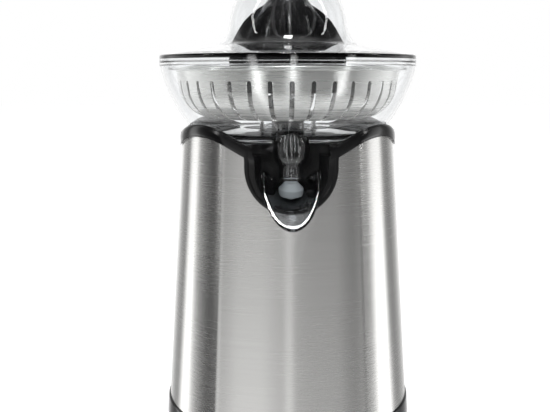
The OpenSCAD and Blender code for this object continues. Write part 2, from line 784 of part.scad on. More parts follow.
// Upright ears that the hinge pins run in
module spout_ears() {
    for (side = [-1, 1]) scale_x(side) translate([spout_half_w - spout_t, 0, 0])
        rotate([90, 0, 90]) linear_extrude(spout_t)
            polygon([[-hinge_y + ear_back, hinge_z + ear_r], [-hinge_y + ear_back, hinge_z - ear_r / 2],
                [-hinge_y + ear_back / 3, hinge_z - ear_r], [-hinge_y - ear_len, hinge_z - ear_r],
                [-hinge_y - ear_len, hinge_z + ear_r]]);
}

module spout_trough() {
    color([0.88, 0.91, 0.93, 0.45]) difference() {
        intersection() {
            linear_extrude(platform_z) spout_plan(0);
            union() {
                spout_bed(0);
                spout_ears();
            }
            spout_side();
        }
        intersection() {
            linear_extrude(platform_z) spout_plan(spout_t);
            spout_bed(spout_t);
        }
        translate([-far / 2, -hinge_y, hinge_z]) rotate([0, 90, 0]) cylinder(r = pin_r + run_gap, h = far);
        plug_stem(plug_stem_r, hinge_z);
    }
}

plug_r = 7.6;
plug_top_r = 4;
plug_cone_h = 4.6;
plug_stem_r = 2;
// How far the closed plug's top goes into the outlet, leaving a clear gap at the mouth's edge
plug_entry = (pipe_bore - clear_gap - plug_top_r) / (plug_r - plug_top_r) * plug_cone_h - clear_gap;

// The plug stands upright under the outlet when the spout is shut, and leans forward when it is down
module drip_plug() {
    band_z = mouth_z + plug_entry - plug_cone_h;
    color([0.56, 0.6, 0.62]) {
        intersection() {
            tilt_at(-hinge_y, hinge_z, flip_angle) translate([0, -nozzle_y, 0]) {
                translate([0, 0, band_z]) cylinder(r1 = plug_r, r2 = plug_top_r, h = plug_cone_h);
                translate([0, 0, band_z - 2 * plug_r]) cylinder(r = plug_r, h = 2 * plug_r + eps);
            }
            spout_bed(spout_t + small);
        }
        // stem that presses into the spout's floor
        intersection() {
            plug_stem(plug_stem_r - small, band_z);
            spout_bed(small);
        }
    }
}

module plug_stem(r, top_z) {
    tilt_at(-hinge_y, hinge_z, flip_angle) translate([0, -nozzle_y, top_z - 2 * plug_r])
        cylinder(r = r, h = 2 * plug_r);
}

module spout_pivot_pins() {
    color("gray") for (side = [-1, 1]) translate([side * (spout_half_w - spout_t - 0.4), -hinge_y, hinge_z])
        rotate([0, side * 90, 0]) cylinder(r = pin_r, h = spout_t + 0.4 + ear_gap + pocket_wall - 0.4);
}

// ---------------------------------------------------------------- drive shaft and its bearings

module drive_shaft() {
    color("silver") {
        translate([0, 0, shaft_foot_z]) cylinder(r = shaft_r - 0.4, h = 3);
        translate([0, 0, shaft_foot_z + 3 - eps])
            cylinder(r = drive_hex_r, h = shaft_hex_top - shaft_foot_z - 3, $fn = 6);
        translate([0, 0, shaft_hex_top - 2 * eps])
            cylinder(r = shaft_r, h = collar_z - shaft_hex_top + 3 * eps);
        translate([0, 0, collar_z]) cylinder(r = collar_r, h = collar_h);
        translate([0, 0, hub_foot_z - eps])
            cylinder(r = drive_hex_r, h = drive_hex_top - hub_foot_z, $fn = 6);
    }
}

module shaft_seal() {
    color([0.15, 0.15, 0.15]) difference() {
        tube(shaft_r + 3 - small, shaft_r + run_gap, boss_top_z - 5 + small, boss_top_z);
        translate([0, 0, boss_top_z - 1]) cylinder(r1 = shaft_r, r2 = shaft_r + 1.6, h = 1.1);
    }
}

module upper_bush() {
    color("#b5854a") tube(shaft_r + 3 - small, shaft_r + run_gap, platform_z - 22, platform_z - 10 - small);
}

module thrust_cup() {
    color([0.85, 0.85, 0.8]) difference() {
        union() {
            translate([0, 0, cup_z - 1]) cylinder(r = cup_r, h = 6);
            translate([0, 0, rod_end_z]) cylinder(r = rod_r, h = cup_z - rod_end_z);
        }
        translate([0, 0, shaft_foot_z]) cylinder(r = shaft_r - 0.4 + run_gap, h = 10);
    }
}

spring_turns = 5;
spring_wire = 0.9;
spring_r = 5;
spring_low = well_floor_z + spring_wire;
spring_high = cup_z - 1 - spring_wire;
spring_steps = 12;
function coil_point(turn) = [spring_r * cos(360 * turn), spring_r * sin(360 * turn),
    spring_low + (spring_high - spring_low) * turn / spring_turns];
module return_spring() {
    rings = spring_turns * spring_steps;
    sides = 6;
    points = [for (i = [0 : rings]) let(t = i / spring_steps, p = coil_point(t), a = 360 * t)
        for (k = [0 : sides - 1]) let(b = 360 * k / sides)
            [p[0] + spring_wire * cos(b) * cos(a), p[1] + spring_wire * cos(b) * sin(a),
                p[2] + spring_wire * sin(b)]];
    sides_faces = [for (i = [0 : rings - 1]) for (k = [0 : sides - 1]) let(next = (k + 1) % sides)
        [i * sides + k, (i + 1) * sides + k, (i + 1) * sides + next, i * sides + next]];
    ends = [[for (k = [0 : sides - 1]) k], [for (k = [sides - 1 : -1 : 0]) rings * sides + k]];
    color("gray") polyhedron(points, concat(sides_faces, ends), convexity = 10);
}

// ---------------------------------------------------------------- gears

// Spur gear: straight-flanked teeth, narrowed a little for backlash
module spur_gear(teeth, module_mm, height, thin = 0.12) {
    pitch_r = teeth * module_mm / 2;
    tip = pitch_r + module_mm * 0.85;
    root = pitch_r - module_mm * 1.15;
    half_pitch = 90 / teeth * (1 - thin);
    lean_out = atan(module_mm * 0.85 * tan(pressure_angle) / pitch_r) * 1.1;
    lean_in = atan(module_mm * 1.15 * tan(pressure_angle) / pitch_r) * 0.8;
    linear_extrude(height) polygon([for (i = [0 : teeth - 1]) let(a = 360 * i / teeth)
        for (q = [[root, -half_pitch - lean_in], [pitch_r, -half_pitch], [tip, -half_pitch + lean_out],
            [tip, half_pitch - lean_out], [pitch_r, half_pitch], [root, half_pitch + lean_in]])
            [q[0] * cos(a + q[1]), q[0] * sin(a + q[1])]]);
}

module final_gear() {
    gear_r = slow_pitch * final_teeth;
    color([0.9, 0.88, 0.8]) difference() {
        union() {
            translate([0, 0, slow_z]) rotate([0, 0, 90]) spur_gear(final_teeth, slow_module, slow_h);
            translate([0, 0, slow_z - 1]) cylinder(r = final_hub_r, h = slow_h + 2);
        }
        // web lightened on both faces
        for (z = [slow_z - 1, slow_z + slow_h - 3]) difference() {
            translate([0, 0, z]) cylinder(r = gear_r - 5, h = 4);
            translate([0, 0, z - 1]) cylinder(r = final_hub_r, h = 6);
        }
        translate([0, 0, slow_z - 2]) cylinder(r = drive_hex_r + run_gap, h = slow_h + 4, $fn = 6);
    }
}

idler_pin_r = 2.5;
// Half a tooth of turn where the wheel on the other side has a tooth on the line of centres
function mesh_turn(teeth, toward) = toward + 180 / teeth;
module idler_gear() {
    color([0.9, 0.88, 0.8]) translate([0, idler_distance, 0]) difference() {
        union() {
            translate([0, 0, fast_z]) rotate([0, 0, 270 - motor_swing])
                spur_gear(idler_teeth, fast_module, fast_h);
            translate([0, 0, fast_z + fast_h - eps])
                cylinder(r = slow_pitch * idler_pinion_teeth - 2, h = 2.1);
            translate([0, 0, slow_z]) rotate([0, 0, mesh_turn(idler_pinion_teeth, -90)])
                spur_gear(idler_pinion_teeth, slow_module, slow_h);
        }
        translate([0, 0, fast_z - 1]) cylinder(r = idler_pin_r + run_gap, h = 40);
    }
}

module idler_pin() {
    color("silver") translate([0, idler_distance, gearbox_z + 1])
        cylinder(r = idler_pin_r, h = gearbox_top_z + cover_t - gearbox_z - 2);
}

module at_motor() {
    translate([motor_x, motor_y, 0]) children();
}

rotor_shaft_r = 2.5;
can_t = 1.5;
can_top_z = gearbox_z - small;
can_low_z = can_top_z - motor_h;
module motor_pinion() {
    color("#c9a24b") at_motor() difference() {
        translate([0, 0, fast_z - 1]) rotate([0, 0, mesh_turn(pinion_teeth, 90 - motor_swing)])
            spur_gear(pinion_teeth, fast_module, fast_h + 1.6);
        translate([0, 0, fast_z - 2]) cylinder(r = rotor_shaft_r + small, h = fast_h + 6);
    }
}

module motor_rotor() {
    color([0.5, 0.5, 0.52]) at_motor() {
        translate([0, 0, can_low_z - 3])
            cylinder(r = rotor_shaft_r, h = fast_z + fast_h + 0.4 - can_low_z + 3);
        difference() {
            translate([0, 0, can_low_z + 12]) cylinder(r = motor_r * 0.62, h = motor_h - 20);
            for (a = [0 : 60 : 300]) rotate([0, 0, a]) translate([motor_r * 0.42, -1.2, can_low_z + 11])
                cube([motor_r, 2.4, motor_h]);
        }
        translate([0, 0, can_low_z + 4]) cylinder(r = 6, h = 6);
    }
}

motor_screw_ring = 12;
motor_screw_sink = 1.4;
module motor_can() {
    color([0.55, 0.55, 0.57]) at_motor() difference() {
        translate([0, 0, can_low_z]) cylinder(r = motor_r, h = motor_h);
        translate([0, 0, can_low_z - 1]) cylinder(r = motor_r - can_t, h = motor_h - 1.5);
        translate([0, 0, can_top_z - 5]) cylinder(r = rotor_shaft_r + run_gap, h = 10);
        for (side = [-1, 1]) translate([side * motor_screw_ring, 0, can_top_z - 6])
            cylinder(r = screw_r + small, h = 10);
    }
}

module motor_end_cap() {
    color([0.2, 0.2, 0.22]) at_motor() difference() {
        union() {
            translate([0, 0, can_low_z - 2.4]) cylinder(r = motor_r, h = 2.4 - small);
            translate([0, 0, can_low_z - 2.4]) cylinder(r = motor_r - can_t - small, h = 5);
            translate([0, 0, can_low_z - 5]) cylinder(r = 6, h = 4);
        }
        translate([0, 0, can_low_z - 3.6]) cylinder(r = rotor_shaft_r + run_gap, h = 20);
        translate([0, 0, can_low_z]) cylinder(r = motor_r - can_t - 2.5, h = 6);
    }
}

module motor_screws() {
    color("gray") at_motor() for (side = [-1, 1])
        translate([side * motor_screw_ring, 0, gearbox_z + gear_floor_t - motor_screw_sink + screw_head_h])
            mirror([0, 0, 1]) screw(screw_head_r, 3.4);
}

// Outline of the gearbox: a lobe round each wheel, one over the motor and a lug at each post
module gearbox_outline(inset) {
    circle(r = slow_pitch * final_teeth + 5.5 - inset);
    translate([0, idler_distance]) circle(r = fast_pitch * idler_teeth + 4 - inset);
    translate([motor_x, motor_y]) circle(r = motor_r + 2 - inset);
}

module gearbox_lugs() {
    for (side = [-1, 1]) {
        translate([side * post_x, -post_front_y]) circle(r = 6.5);
        translate([side * (post_x - 11), -post_front_y - 4]) square([13, 8], center = true);
        translate([side * post_x, post_back_y]) circle(r = 6.5);
        translate([side * (post_x - 13), post_back_y - 5]) square([26, 10], center = true);
    }
}

module gearbox_case() {
    color([0.3, 0.3, 0.32]) difference() {
        union() {
            translate([0, 0, gearbox_z]) linear_extrude(gearbox_top_z - gearbox_z) {
                gearbox_outline(0);
                gearbox_lugs();
            }
            translate([0, 0, well_floor_z - well_floor_t])
                cylinder(r = cup_r + 3, h = well_depth + well_floor_t + 1);
            switch_arms();
        }
        translate([0, 0, gearbox_z + gear_floor_t]) linear_extrude(60) gearbox_outline(2.2);
        translate([0, 0, well_floor_z]) cylinder(r = cup_r + run_gap, h = 60);
        translate([0, 0, well_floor_z - 10]) cylinder(r = rod_r + run_gap * 2, h = 20);
        translate([0, idler_distance, gearbox_z + 1 - eps]) cylinder(r = idler_pin_r + small, h = 20);
        at_motor() {
            translate([0, 0, gearbox_z - 1]) cylinder(r = rotor_shaft_r + 1, h = 10);
            for (side = [-1, 1]) translate([side * motor_screw_ring, 0, gearbox_z - 1]) {
                cylinder(r = screw_r + small, h = 10);
                translate([0, 0, gear_floor_t + 1 - motor_screw_sink])
                    cylinder(r = screw_head_r + 0.2, h = 10);
            }
        }
        post_positions() translate([0, 0, gearbox_z - 1]) {
            cylinder(r = screw_r + 0.2, h = 60);
            cylinder(r = screw_head_r + 0.3, h = screw_head_h + 10);
        }
    }
}

module gearbox_cover() {
    color([0.32, 0.32, 0.34]) difference() {
        translate([0, 0, gearbox_top_z + small]) linear_extrude(cover_t - 2 * small) {
            gearbox_outline(0);
            gearbox_lugs();
        }
        translate([0, 0, gearbox_top_z - 1]) cylinder(r = drive_hex_r + 0.6, h = 10);
        translate([0, idler_distance, gearbox_top_z - 1]) cylinder(r = idler_pin_r + small, h = 10);
        post_positions() translate([0, 0, gearbox_top_z - 1]) cylinder(r = screw_r + 0.2, h = 10);
    }
}

gearbox_screw_z = gearbox_z + 9;
module gearbox_screws() {
    color("gray") post_positions()
        translate([0, 0, gearbox_screw_z - screw_head_h])
            screw(screw_head_r, gearbox_top_z + cover_t + 10 - gearbox_screw_z);
}

// ---------------------------------------------------------------- press switch and terminals

switch_top_z = rod_end_z - press_travel - 1.6;
switch_len = 24;
switch_w = 8;
arm_t = 2;
arm_drop = 7;
switch_screw_r = 1.2;
switch_screw_z = switch_top_z - 4;
module press_switch() {
    color([0.12, 0.12, 0.14]) difference() {
        translate([-switch_len / 2, -switch_w / 2, switch_top_z - switch_h])
            cube([switch_len, switch_w, switch_h]);
        translate([0, 0, switch_top_z - 8]) cylinder(r = rod_r + run_gap, h = 20);
        translate([-far / 2, 0, switch_screw_z]) rotate([0, 90, 0]) difference() {
            cylinder(r = switch_screw_r + small, h = far);
            translate([0, 0, far / 2 - switch_len / 2 + 4.5]) cylinder(r = 4, h = switch_len - 9);
        }
    }
}

// Two arms under the well that hold the switch
module switch_arms() {
    plate_z = well_floor_z - well_floor_t;
    half_len = switch_len / 2 + small + arm_t;
    difference() {
        union() {
            translate([-half_len, -switch_w / 2, plate_z]) cube([2 * half_len, switch_w, well_floor_t]);
            for (side = [-1, 1]) scale_x(side)
                translate([half_len - arm_t, -switch_w / 2, switch_top_z - arm_drop])
                    cube([arm_t, switch_w, plate_z - switch_top_z + arm_drop + 1]);
        }
        translate([-far / 2, 0, switch_screw_z]) rotate([0, 90, 0])
            cylinder(r = switch_screw_r + small, h = far);
    }
}

module switch_plunger() {
    color([0.75, 0.2, 0.15])
        translate([0, 0, switch_top_z - 6])
            cylinder(r = rod_r, h = rod_end_z - clear_gap - switch_top_z + 6);
}

module switch_screws() {
    head_x = switch_len / 2 + 2 * small + arm_t;
    head_r = 2.2;
    head_h = 1.3;
    shank = 5;
    color("gray") for (side = [-1, 1]) scale_x(side)
        translate([head_x, 0, switch_screw_z]) rotate([0, 90, 0]) difference() {
            union() {
                cylinder(r = head_r, h = head_h);
                translate([0, 0, -shank]) cylinder(r = switch_screw_r, h = shank + eps);
            }
            translate([-head_r * 0.75, -head_r * 0.15, head_h * 0.6]) cube([head_r * 1.5, head_r * 0.3, head_h]);
        }
}

module terminal_block() {
    block_z = base_cover_z + 4;
    color([0.85, 0.85, 0.8]) difference() {
        translate([-12, 12, block_z + small]) cube([24, 14, 10]);
        for (x = [-7, 0, 7]) {
            translate([x, 19, block_z + 4]) cylinder(r = 1.6, h = 10);
            translate([x, 11, block_z + 5]) rotate([-90, 0, 0]) cylinder(r = 1.2, h = 20);
        }
    }
}

dome_lid();
reamer_cone();
strainer_basket();
juice_bowl();
spout_trough();
drip_plug();
spout_pivot_pins();
top_cover();
steel_wrap();
base_band();
bottom_cover();
rubber_feet();
bottom_screws();
cord_gland();
drive_shaft();
shaft_seal();
upper_bush();
thrust_cup();
return_spring();
final_gear();
idler_gear();
idler_pin();
motor_pinion();
motor_rotor();
motor_can();
motor_end_cap();
motor_screws();
gearbox_case();
gearbox_cover();
gearbox_screws();
press_switch();
switch_plunger();
switch_screws();
terminal_block();
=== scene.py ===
import math

import bmesh
import bpy
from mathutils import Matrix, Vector


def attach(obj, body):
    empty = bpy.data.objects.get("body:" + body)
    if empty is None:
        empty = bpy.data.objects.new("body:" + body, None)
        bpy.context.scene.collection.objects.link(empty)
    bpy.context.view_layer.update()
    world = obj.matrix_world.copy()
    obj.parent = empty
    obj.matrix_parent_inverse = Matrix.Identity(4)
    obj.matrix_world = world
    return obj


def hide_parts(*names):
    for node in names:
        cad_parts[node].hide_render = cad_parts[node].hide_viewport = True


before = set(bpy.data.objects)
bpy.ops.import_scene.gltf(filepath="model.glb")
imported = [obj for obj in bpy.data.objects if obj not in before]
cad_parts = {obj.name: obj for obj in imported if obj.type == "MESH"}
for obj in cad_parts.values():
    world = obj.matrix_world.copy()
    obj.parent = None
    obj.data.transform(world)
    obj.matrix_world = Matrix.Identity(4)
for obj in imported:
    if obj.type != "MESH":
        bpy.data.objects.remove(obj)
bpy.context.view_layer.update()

# Citrus press juicer: what is seen of it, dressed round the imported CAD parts. Sizes in mm, scene in metres.

MM = 0.001
sin, cos, tan, sqrt, pi, rad = math.sin, math.cos, math.tan, math.sqrt, math.pi, math.radians

# ---------------------------------------------------------------- sizes shared with the CAD, in mm

# housing: a cone whose front panel is a flatter cone, with its axis set back by FRONT_SHIFT
WRAP_Z, PLATFORM_Z, PANEL_TOP_Z = 20.0, 197.0, 217.0
WRAP_R_LOW, WRAP_R_TOP, WRAP_T = 83.2, 71.1, 0.9
FRONT_SHIFT, CREASE = 30.0, rad(35)
BASE_PROUD = 1.1

# rim: a slope from the recess up to a crest, then a shoulder down to the side
RIM_BAND, RIM_SLOPE, RIM_LOW_X = 7.6, rad(29), 24.6
CREST_X, CREST_Z, CREST_R = 57.5, 209.1, 36.0
SHOULDER_R, SHOULDER_END, BACK_RISE = 17.0, 7.746, 4.0

# spout recess
RECESS_R, RECESS_Z, RECESS_LIP = 28.3, 184.2, 3.0

# juice bowl: a wide arc, a corner, a floor with a foot ring, and a tower round the shaft
BOWL_R, BOWL_T, BOWL_FLOOR_Z = 85.0, 2.2, 200.5
BOWL_ARC, BOWL_ARC_R, BOWL_ARC_TOP = (-10.86, 266.08), 98.0, 12
BOWL_CORNER, BOWL_CORNER_R, BOWL_SINE_R = (57.84, 209.5), 9.0, 89.0
BOWL_FOOT_R, BOWL_FOOT_T = 43.0, 2.2
TOWER_R, TOWER_BORE_R, TOWER_TOP_Z = 13.9, 11.7, 226.0
SKIRT_R, SKIRT_BORE_R, SKIRT_TOP_Z = 19.0, 16.8, 209.8
NOZZLE_Y, MOUTH_Z = -58.0, 176.5

# strainer basket
STRAINER_R, STRAINER_Z, STRAINER_H, STRAINER_T = 74.6, 212.0, 31.8, 0.9
STRAINER_BEND, STRAINER_BEND_R, STRAINER_DRAFT = (50.72, 234.0), 22.0, 6
SLOTS, SLOT_W, SLOT_TOP_H, SLOT_LOW_R = 36, 2.9, 25.0, 54.0
HUB_R, HUB_BORE_R, HUB_TOP_Z = 15.3, 14.4, 218.0
RIM_ROLL_R, RIM_ROLL_AT = 1.5, 75.05

# reamer cone
CONE_R, CONE_FOOT_Z, CONE_H, CORE_R, RIBS = 39.5, 231.0, 67.0, 34.0, 8
RIB_WIDE_H, RIB_TOP_DROP, TIP_H = 12.0, 21.0, 13.0
RIB_HALF, RIB_HALF_FALL, RIB_CROWN = 2.7, 1.35, 0.25
FLANK_START, FLANK_W = 0.9, 2.4

# dome lid
DOME_R, DOME_Z, LID_T, LID_SLOPE = 41.0, 266.25, 2.0, rad(10)
LID_JOINT_Z, LID_CORNER_R, TONGUE_R, TONGUE_H = 245.75, 1.3, 79.35, 3.0
FLARE_W, FLARE_DROP, SHELF_H = 7.0, 7.7, 2.2

# spout and plug, with the spout down
HINGE_Y, HINGE_Z, FLIP = -50.0, 177.0, rad(24)
SPOUT_DROP, SPOUT_SLOPE, SPOUT_BED_R, SPOUT_T = 5.9, rad(30), 22.0, 2.0
PLUG_R, PLUG_TOP_R, PLUG_CONE_H, PLUG_TOP_Z = 7.6, 4.0, 3.8, 178.24
PLUG_HEAD_H, PLUG_STEM_R, PLUG_STEM_H, PLUG_LEAN = 4.2, 5.2, 12.0, rad(11)

TAPER = (WRAP_R_LOW - WRAP_R_TOP) / (PLATFORM_Z - WRAP_Z)


def body_r(z):
    return WRAP_R_LOW - TAPER * (z - WRAP_Z)


def front_r(r):
    return sqrt(r * r + FRONT_SHIFT ** 2 + 2 * r * FRONT_SHIFT * cos(CREASE))


PANEL_LOW, PANEL_HIGH = front_r(body_r(0)), front_r(body_r(PANEL_TOP_Z))


def section_r(phi, z, blend=0.0):
    """Distance of the housing's outside from the axis, phi from the front, with a soft crease."""
    side = body_r(z)
    panel = PANEL_LOW + (PANEL_HIGH - PANEL_LOW) * z / PANEL_TOP_Z
    front = sqrt(panel ** 2 - (FRONT_SHIFT * sin(phi)) ** 2) - FRONT_SHIFT * cos(phi)
    if cos(phi) < -0.2:
        return side
    low = min(side, front)
    near = max(blend - abs(side - front), 0.0) / blend if blend else 0.0
    return low - near * near * blend / 4


def rim_z(x, back=False, drop=0.0):
    """Height of the rim's top line at a distance from the middle, seen from the front."""
    x = abs(x)
    join_x = CREST_X - CREST_R * sin(RIM_SLOPE)
    join_z = CREST_Z - CREST_R * (1 - cos(RIM_SLOPE))
    if x < join_x:
        z = join_z - (join_x - x) * tan(RIM_SLOPE)
        floor = PLATFORM_Z + BACK_RISE if back else join_z - (join_x - RIM_LOW_X) * tan(RIM_SLOPE)
        return max(z, floor) - drop
    if x < CREST_X:
        return CREST_Z - CREST_R + sqrt(CREST_R ** 2 - (CREST_X - x) ** 2) - drop
    rise = sqrt(max(SHOULDER_R ** 2 - (x - CREST_X) ** 2, 0))
    return CREST_Z - SHOULDER_R + max(rise, SHOULDER_END) - drop


# ---------------------------------------------------------------- outlines

def arc(centre, r, a, b, steps=12):
    """Points on an arc from a to b degrees."""
    turns = [rad(a + (b - a) * i / steps) for i in range(steps + 1)]
    return [(centre[0] + r * cos(t), centre[1] + r * sin(t)) for t in turns]


def straight(a, b, steps, first=0):
    """Points from a towards b, without b itself."""
    shares = [k / steps for k in range(first, steps)]
    return [(a[0] + (b[0] - a[0]) * t, a[1] + (b[1] - a[1]) * t) for t in shares]


def bezier(a, b, c, d, steps):
    """Points on a cubic curve from a to d, without a itself."""
    out = []
    for k in range(1, steps + 1):
        t = k / steps
        weights = ((1 - t) ** 3, 3 * t * (1 - t) ** 2, 3 * t * t * (1 - t), t ** 3)
        out.append(tuple(sum(w * p[i] for w, p in zip(weights, (a, b, c, d))) for i in (0, 1)))
    return out


def rounded(points, radius, steps=4):
    """A closed outline with each corner rounded; a point may carry its own radius."""
    out = []
    nearly_straight, longest_cut = rad(172), 0.45
    for i, p in enumerate(points):
        r = p[2] if len(p) > 2 else radius
        here = Vector(p[:2])
        back = Vector(points[i - 1][:2]) - here
        on = Vector(points[(i + 1) % len(points)][:2]) - here
        if back.length < 1e-6 or on.length < 1e-6 or r <= 0 or back.angle(on) > nearly_straight:
            out.append(tuple(here))
            continue
        cut = min(r / tan(back.angle(on) / 2), back.length * longest_cut, on.length * longest_cut)
        start, end = here + back.normalized() * cut, here + on.normalized() * cut
        for k in range(steps + 1):
            t = k / steps
            out.append(tuple(start * (1 - t) ** 2 + here * 2 * t * (1 - t) + end * t * t))
    return out


def offset_line(points, distance):
    """The same line moved sideways, to the right of its direction."""
    out = []
    for i, p in enumerate(points):
        before, after = points[max(i - 1, 0)], points[min(i + 1, len(points) - 1)]
        along = (Vector(after) - Vector(before)).normalized()
        out.append((p[0] + along.y * distance, p[1] - along.x * distance))
    return out


# ---------------------------------------------------------------- mesh makers

def smooth(obj, angle=35):
    for poly in obj.data.polygons:
        poly.use_smooth = True
    obj.data.set_sharp_from_angle(angle=rad(angle))
    return obj


def finish_mesh(name, bm, angle=35, merge=1e-6):
    """An object from a bmesh, with doubled points joined and normals outwards."""
    bmesh.ops.remove_doubles(bm, verts=bm.verts, dist=merge)
    bmesh.ops.dissolve_degenerate(bm, edges=bm.edges, dist=merge)
    bmesh.ops.recalc_face_normals(bm, faces=bm.faces)
    mesh = bpy.data.meshes.new(name)
    bm.to_mesh(mesh)
    bm.free()
    obj = bpy.data.objects.new(name, mesh)
    bpy.context.scene.collection.objects.link(obj)
    return smooth(obj, angle)


def revolve(name, outline, steps=160, centre=(0, 0), closed=True, angle=35):
    """A closed (r, z) outline in mm, turned about an upright axis."""
    bm = bmesh.new()
    rings = []
    for r, z in outline:
        ring = []
        for k in range(steps):
            a = 2 * pi * k / steps
            x, y = centre[0] + max(r, 0) * sin(a), centre[1] - max(r, 0) * cos(a)
            ring.append(bm.verts.new((x * MM, y * MM, z * MM)))
        rings.append(ring)
    count = len(rings) if closed else len(rings) - 1
    for i in range(count):
        a, b = rings[i], rings[(i + 1) % len(rings)]
        for k in range(steps):
            j = (k + 1) % steps
            bm.faces.new((a[k], a[j], b[j], b[k]))
    return finish_mesh(name, bm, angle)


def grid_mesh(name, rows, wrap_rows=False, wrap_cols=False, angle=35):
    """Rows of points in mm, joined into quads."""
    bm = bmesh.new()
    verts = [[bm.verts.new(Vector(p) * MM) for p in row] for row in rows]
    n, m = len(verts), len(verts[0])
    for i in range(n if wrap_rows else n - 1):
        for k in range(m if wrap_cols else m - 1):
            a, b = verts[i], verts[(i + 1) % n]
            j = (k + 1) % m
            face = (a[k], a[j], b[j], b[k])
            if len({v.co.to_tuple(7) for v in face}) > 2:
                bm.faces.new(face)
    return finish_mesh(name, bm, angle)


def apply_modifiers(obj):
    deps = bpy.context.evaluated_depsgraph_get()
    mesh = bpy.data.meshes.new_from_object(obj.evaluated_get(deps))
    obj.modifiers.clear()
    obj.data = mesh
    return obj


def boolean(obj, other, operation):
    mod = obj.modifiers.new("cut", "BOOLEAN")
    mod.operation, mod.object, mod.solver = operation, other, "EXACT"
    apply_modifiers(obj)
    bpy.data.objects.remove(other)
    return obj


def thicken(obj, thickness):
    """Give an open sheet its thickness, inwards."""
    mod = obj.modifiers.new("sheet", "SOLIDIFY")
    mod.thickness, mod.offset = thickness * MM, -1


def ease_edges(obj, width, angle):
    mod = obj.modifiers.new("edge", "BEVEL")
    mod.width, mod.segments, mod.limit_method, mod.angle_limit = width * MM, 2, "ANGLE", rad(angle)


def joined_copy(node):
    """A CAD node's mesh where it stands, its doubled points joined."""
    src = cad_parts[node]
    bm = bmesh.new()
    bm.from_mesh(src.data)
    bmesh.ops.transform(bm, matrix=src.matrix_world, verts=bm.verts)
    bmesh.ops.remove_doubles(bm, verts=bm.verts, dist=2e-6)
    return bm


def soft_copy(node, name, bevel, angle=35):
    """A copy of a CAD node with its sharp edges eased."""
    bm = joined_copy(node)
    bmesh.ops.dissolve_limit(bm, angle_limit=rad(0.6), verts=bm.verts, edges=bm.edges)
    obj = finish_mesh(name, bm, angle, 1e-7)
    ease_edges(obj, bevel, angle)
    return smooth(apply_modifiers(obj), angle)


def place(obj, body, slot, mat, *nodes):
    """Dress a piece, let it ride its body and stand in for the CAD nodes."""
    obj.data.materials.clear()
    obj.data.materials.append(mat)
    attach(obj, body)
    if nodes:
        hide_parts(*nodes)


# ---------------------------------------------------------------- nodes

def feed(tree, socket, value):
    """Give a socket a constant or another node's output."""
    if isinstance(value, bpy.types.NodeSocket):
        tree.links.new(value, socket)
    else:
        socket.default_value = value


def maths(tree, operation, first, second):
    node = tree.nodes.new("ShaderNodeMath")
    node.operation = operation
    feed(tree, node.inputs[0], first)
    feed(tree, node.inputs[1], second)
    return node.outputs[0]


def vector_maths(tree, operation, first, second, output="Vector"):
    node = tree.nodes.new("ShaderNodeVectorMath")
    node.operation = operation
    feed(tree, node.inputs[0], first)
    feed(tree, node.inputs[1], second)
    return node.outputs[output]


def product(tree, share, colour, factor):
    """A colour multiplied by another, which counts by a share."""
    node = tree.nodes.new("ShaderNodeMix")
    node.data_type, node.blend_type = "RGBA", "MULTIPLY"
    feed(tree, node.inputs[0], share)
    feed(tree, node.inputs[6], colour)
    feed(tree, node.inputs[7], factor)
    return node.outputs[2]


def mix_shaders(tree, share, first, second):
    node = tree.nodes.new("ShaderNodeMixShader")
    for socket, value in zip(node.inputs, (share, first, second)):
        tree.links.new(value, socket)
    return node.outputs[0]


def add_shaders(tree, first, second):
    node = tree.nodes.new("ShaderNodeAddShader")
    tree.links.new(first, node.inputs[0])
    tree.links.new(second, node.inputs[1])
    return node.outputs[0]


def spread(tree, source, low, high, start=0.3, end=0.7):
    """Map a source from start..end to low..high."""
    node = tree.nodes.new("ShaderNodeMapRange")
    for socket, value in (("From Min", start), ("From Max", end), ("To Min", low), ("To Max", high)):
        node.inputs[socket].default_value = value
    tree.links.new(source, node.inputs["Value"])
    return node.outputs[0]


def tint(tree, source, low, high, start=0.3, end=0.7):
    """Map a source from start..end to a colour between low and high."""
    node = tree.nodes.new("ShaderNodeValToRGB")
    for element, at, colour in zip(node.color_ramp.elements, (start, end), (low, high)):
        element.position, element.color = at, (*colour, 1)
    tree.links.new(source, node.inputs[0])
    return node.outputs[0]


def grey_ramp(tree, source, stops):
    """Map a source to greys, by stops of (place, level)."""
    node = tree.nodes.new("ShaderNodeValToRGB")
    elements = node.color_ramp.elements
    while len(elements) > 1:
        elements.remove(elements[-1])
    for i, (at, level) in enumerate(stops):
        element = elements.new(at) if i else elements[0]
        element.position, element.color = at, (level, level, level, 1)
    tree.links.new(source, node.inputs[0])
    return node.outputs[0]


def noise(tree, scale, stretch=(1, 1, 1), detail=3.0, rough=0.5):
    coord = tree.nodes.new("ShaderNodeTexCoord")
    mapping = tree.nodes.new("ShaderNodeMapping")
    mapping.inputs["Scale"].default_value = stretch
    node = tree.nodes.new("ShaderNodeTexNoise")
    for socket, value in (("Scale", scale), ("Detail", detail), ("Roughness", rough)):
        node.inputs[socket].default_value = value
    tree.links.new(coord.outputs["Object"], mapping.inputs[0])
    tree.links.new(mapping.outputs[0], node.inputs["Vector"])
    return node.outputs["Fac"]


def bump(tree, source, strength, distance):
    """A bump of a depth in metres."""
    node = tree.nodes.new("ShaderNodeBump")
    node.inputs["Strength"].default_value = strength
    node.inputs["Distance"].default_value = distance
    tree.links.new(source, node.inputs["Height"])
    return node.outputs[0]


# ---------------------------------------------------------------- materials

def material(name):
    mat = bpy.data.materials.new(name)
    mat.use_nodes = True
    tree = mat.node_tree
    tree.nodes.clear()
    out = tree.nodes.new("ShaderNodeOutputMaterial")
    shader = tree.nodes.new("ShaderNodeBsdfPrincipled")
    tree.links.new(shader.outputs[0], out.inputs[0])
    return mat, tree, shader, out


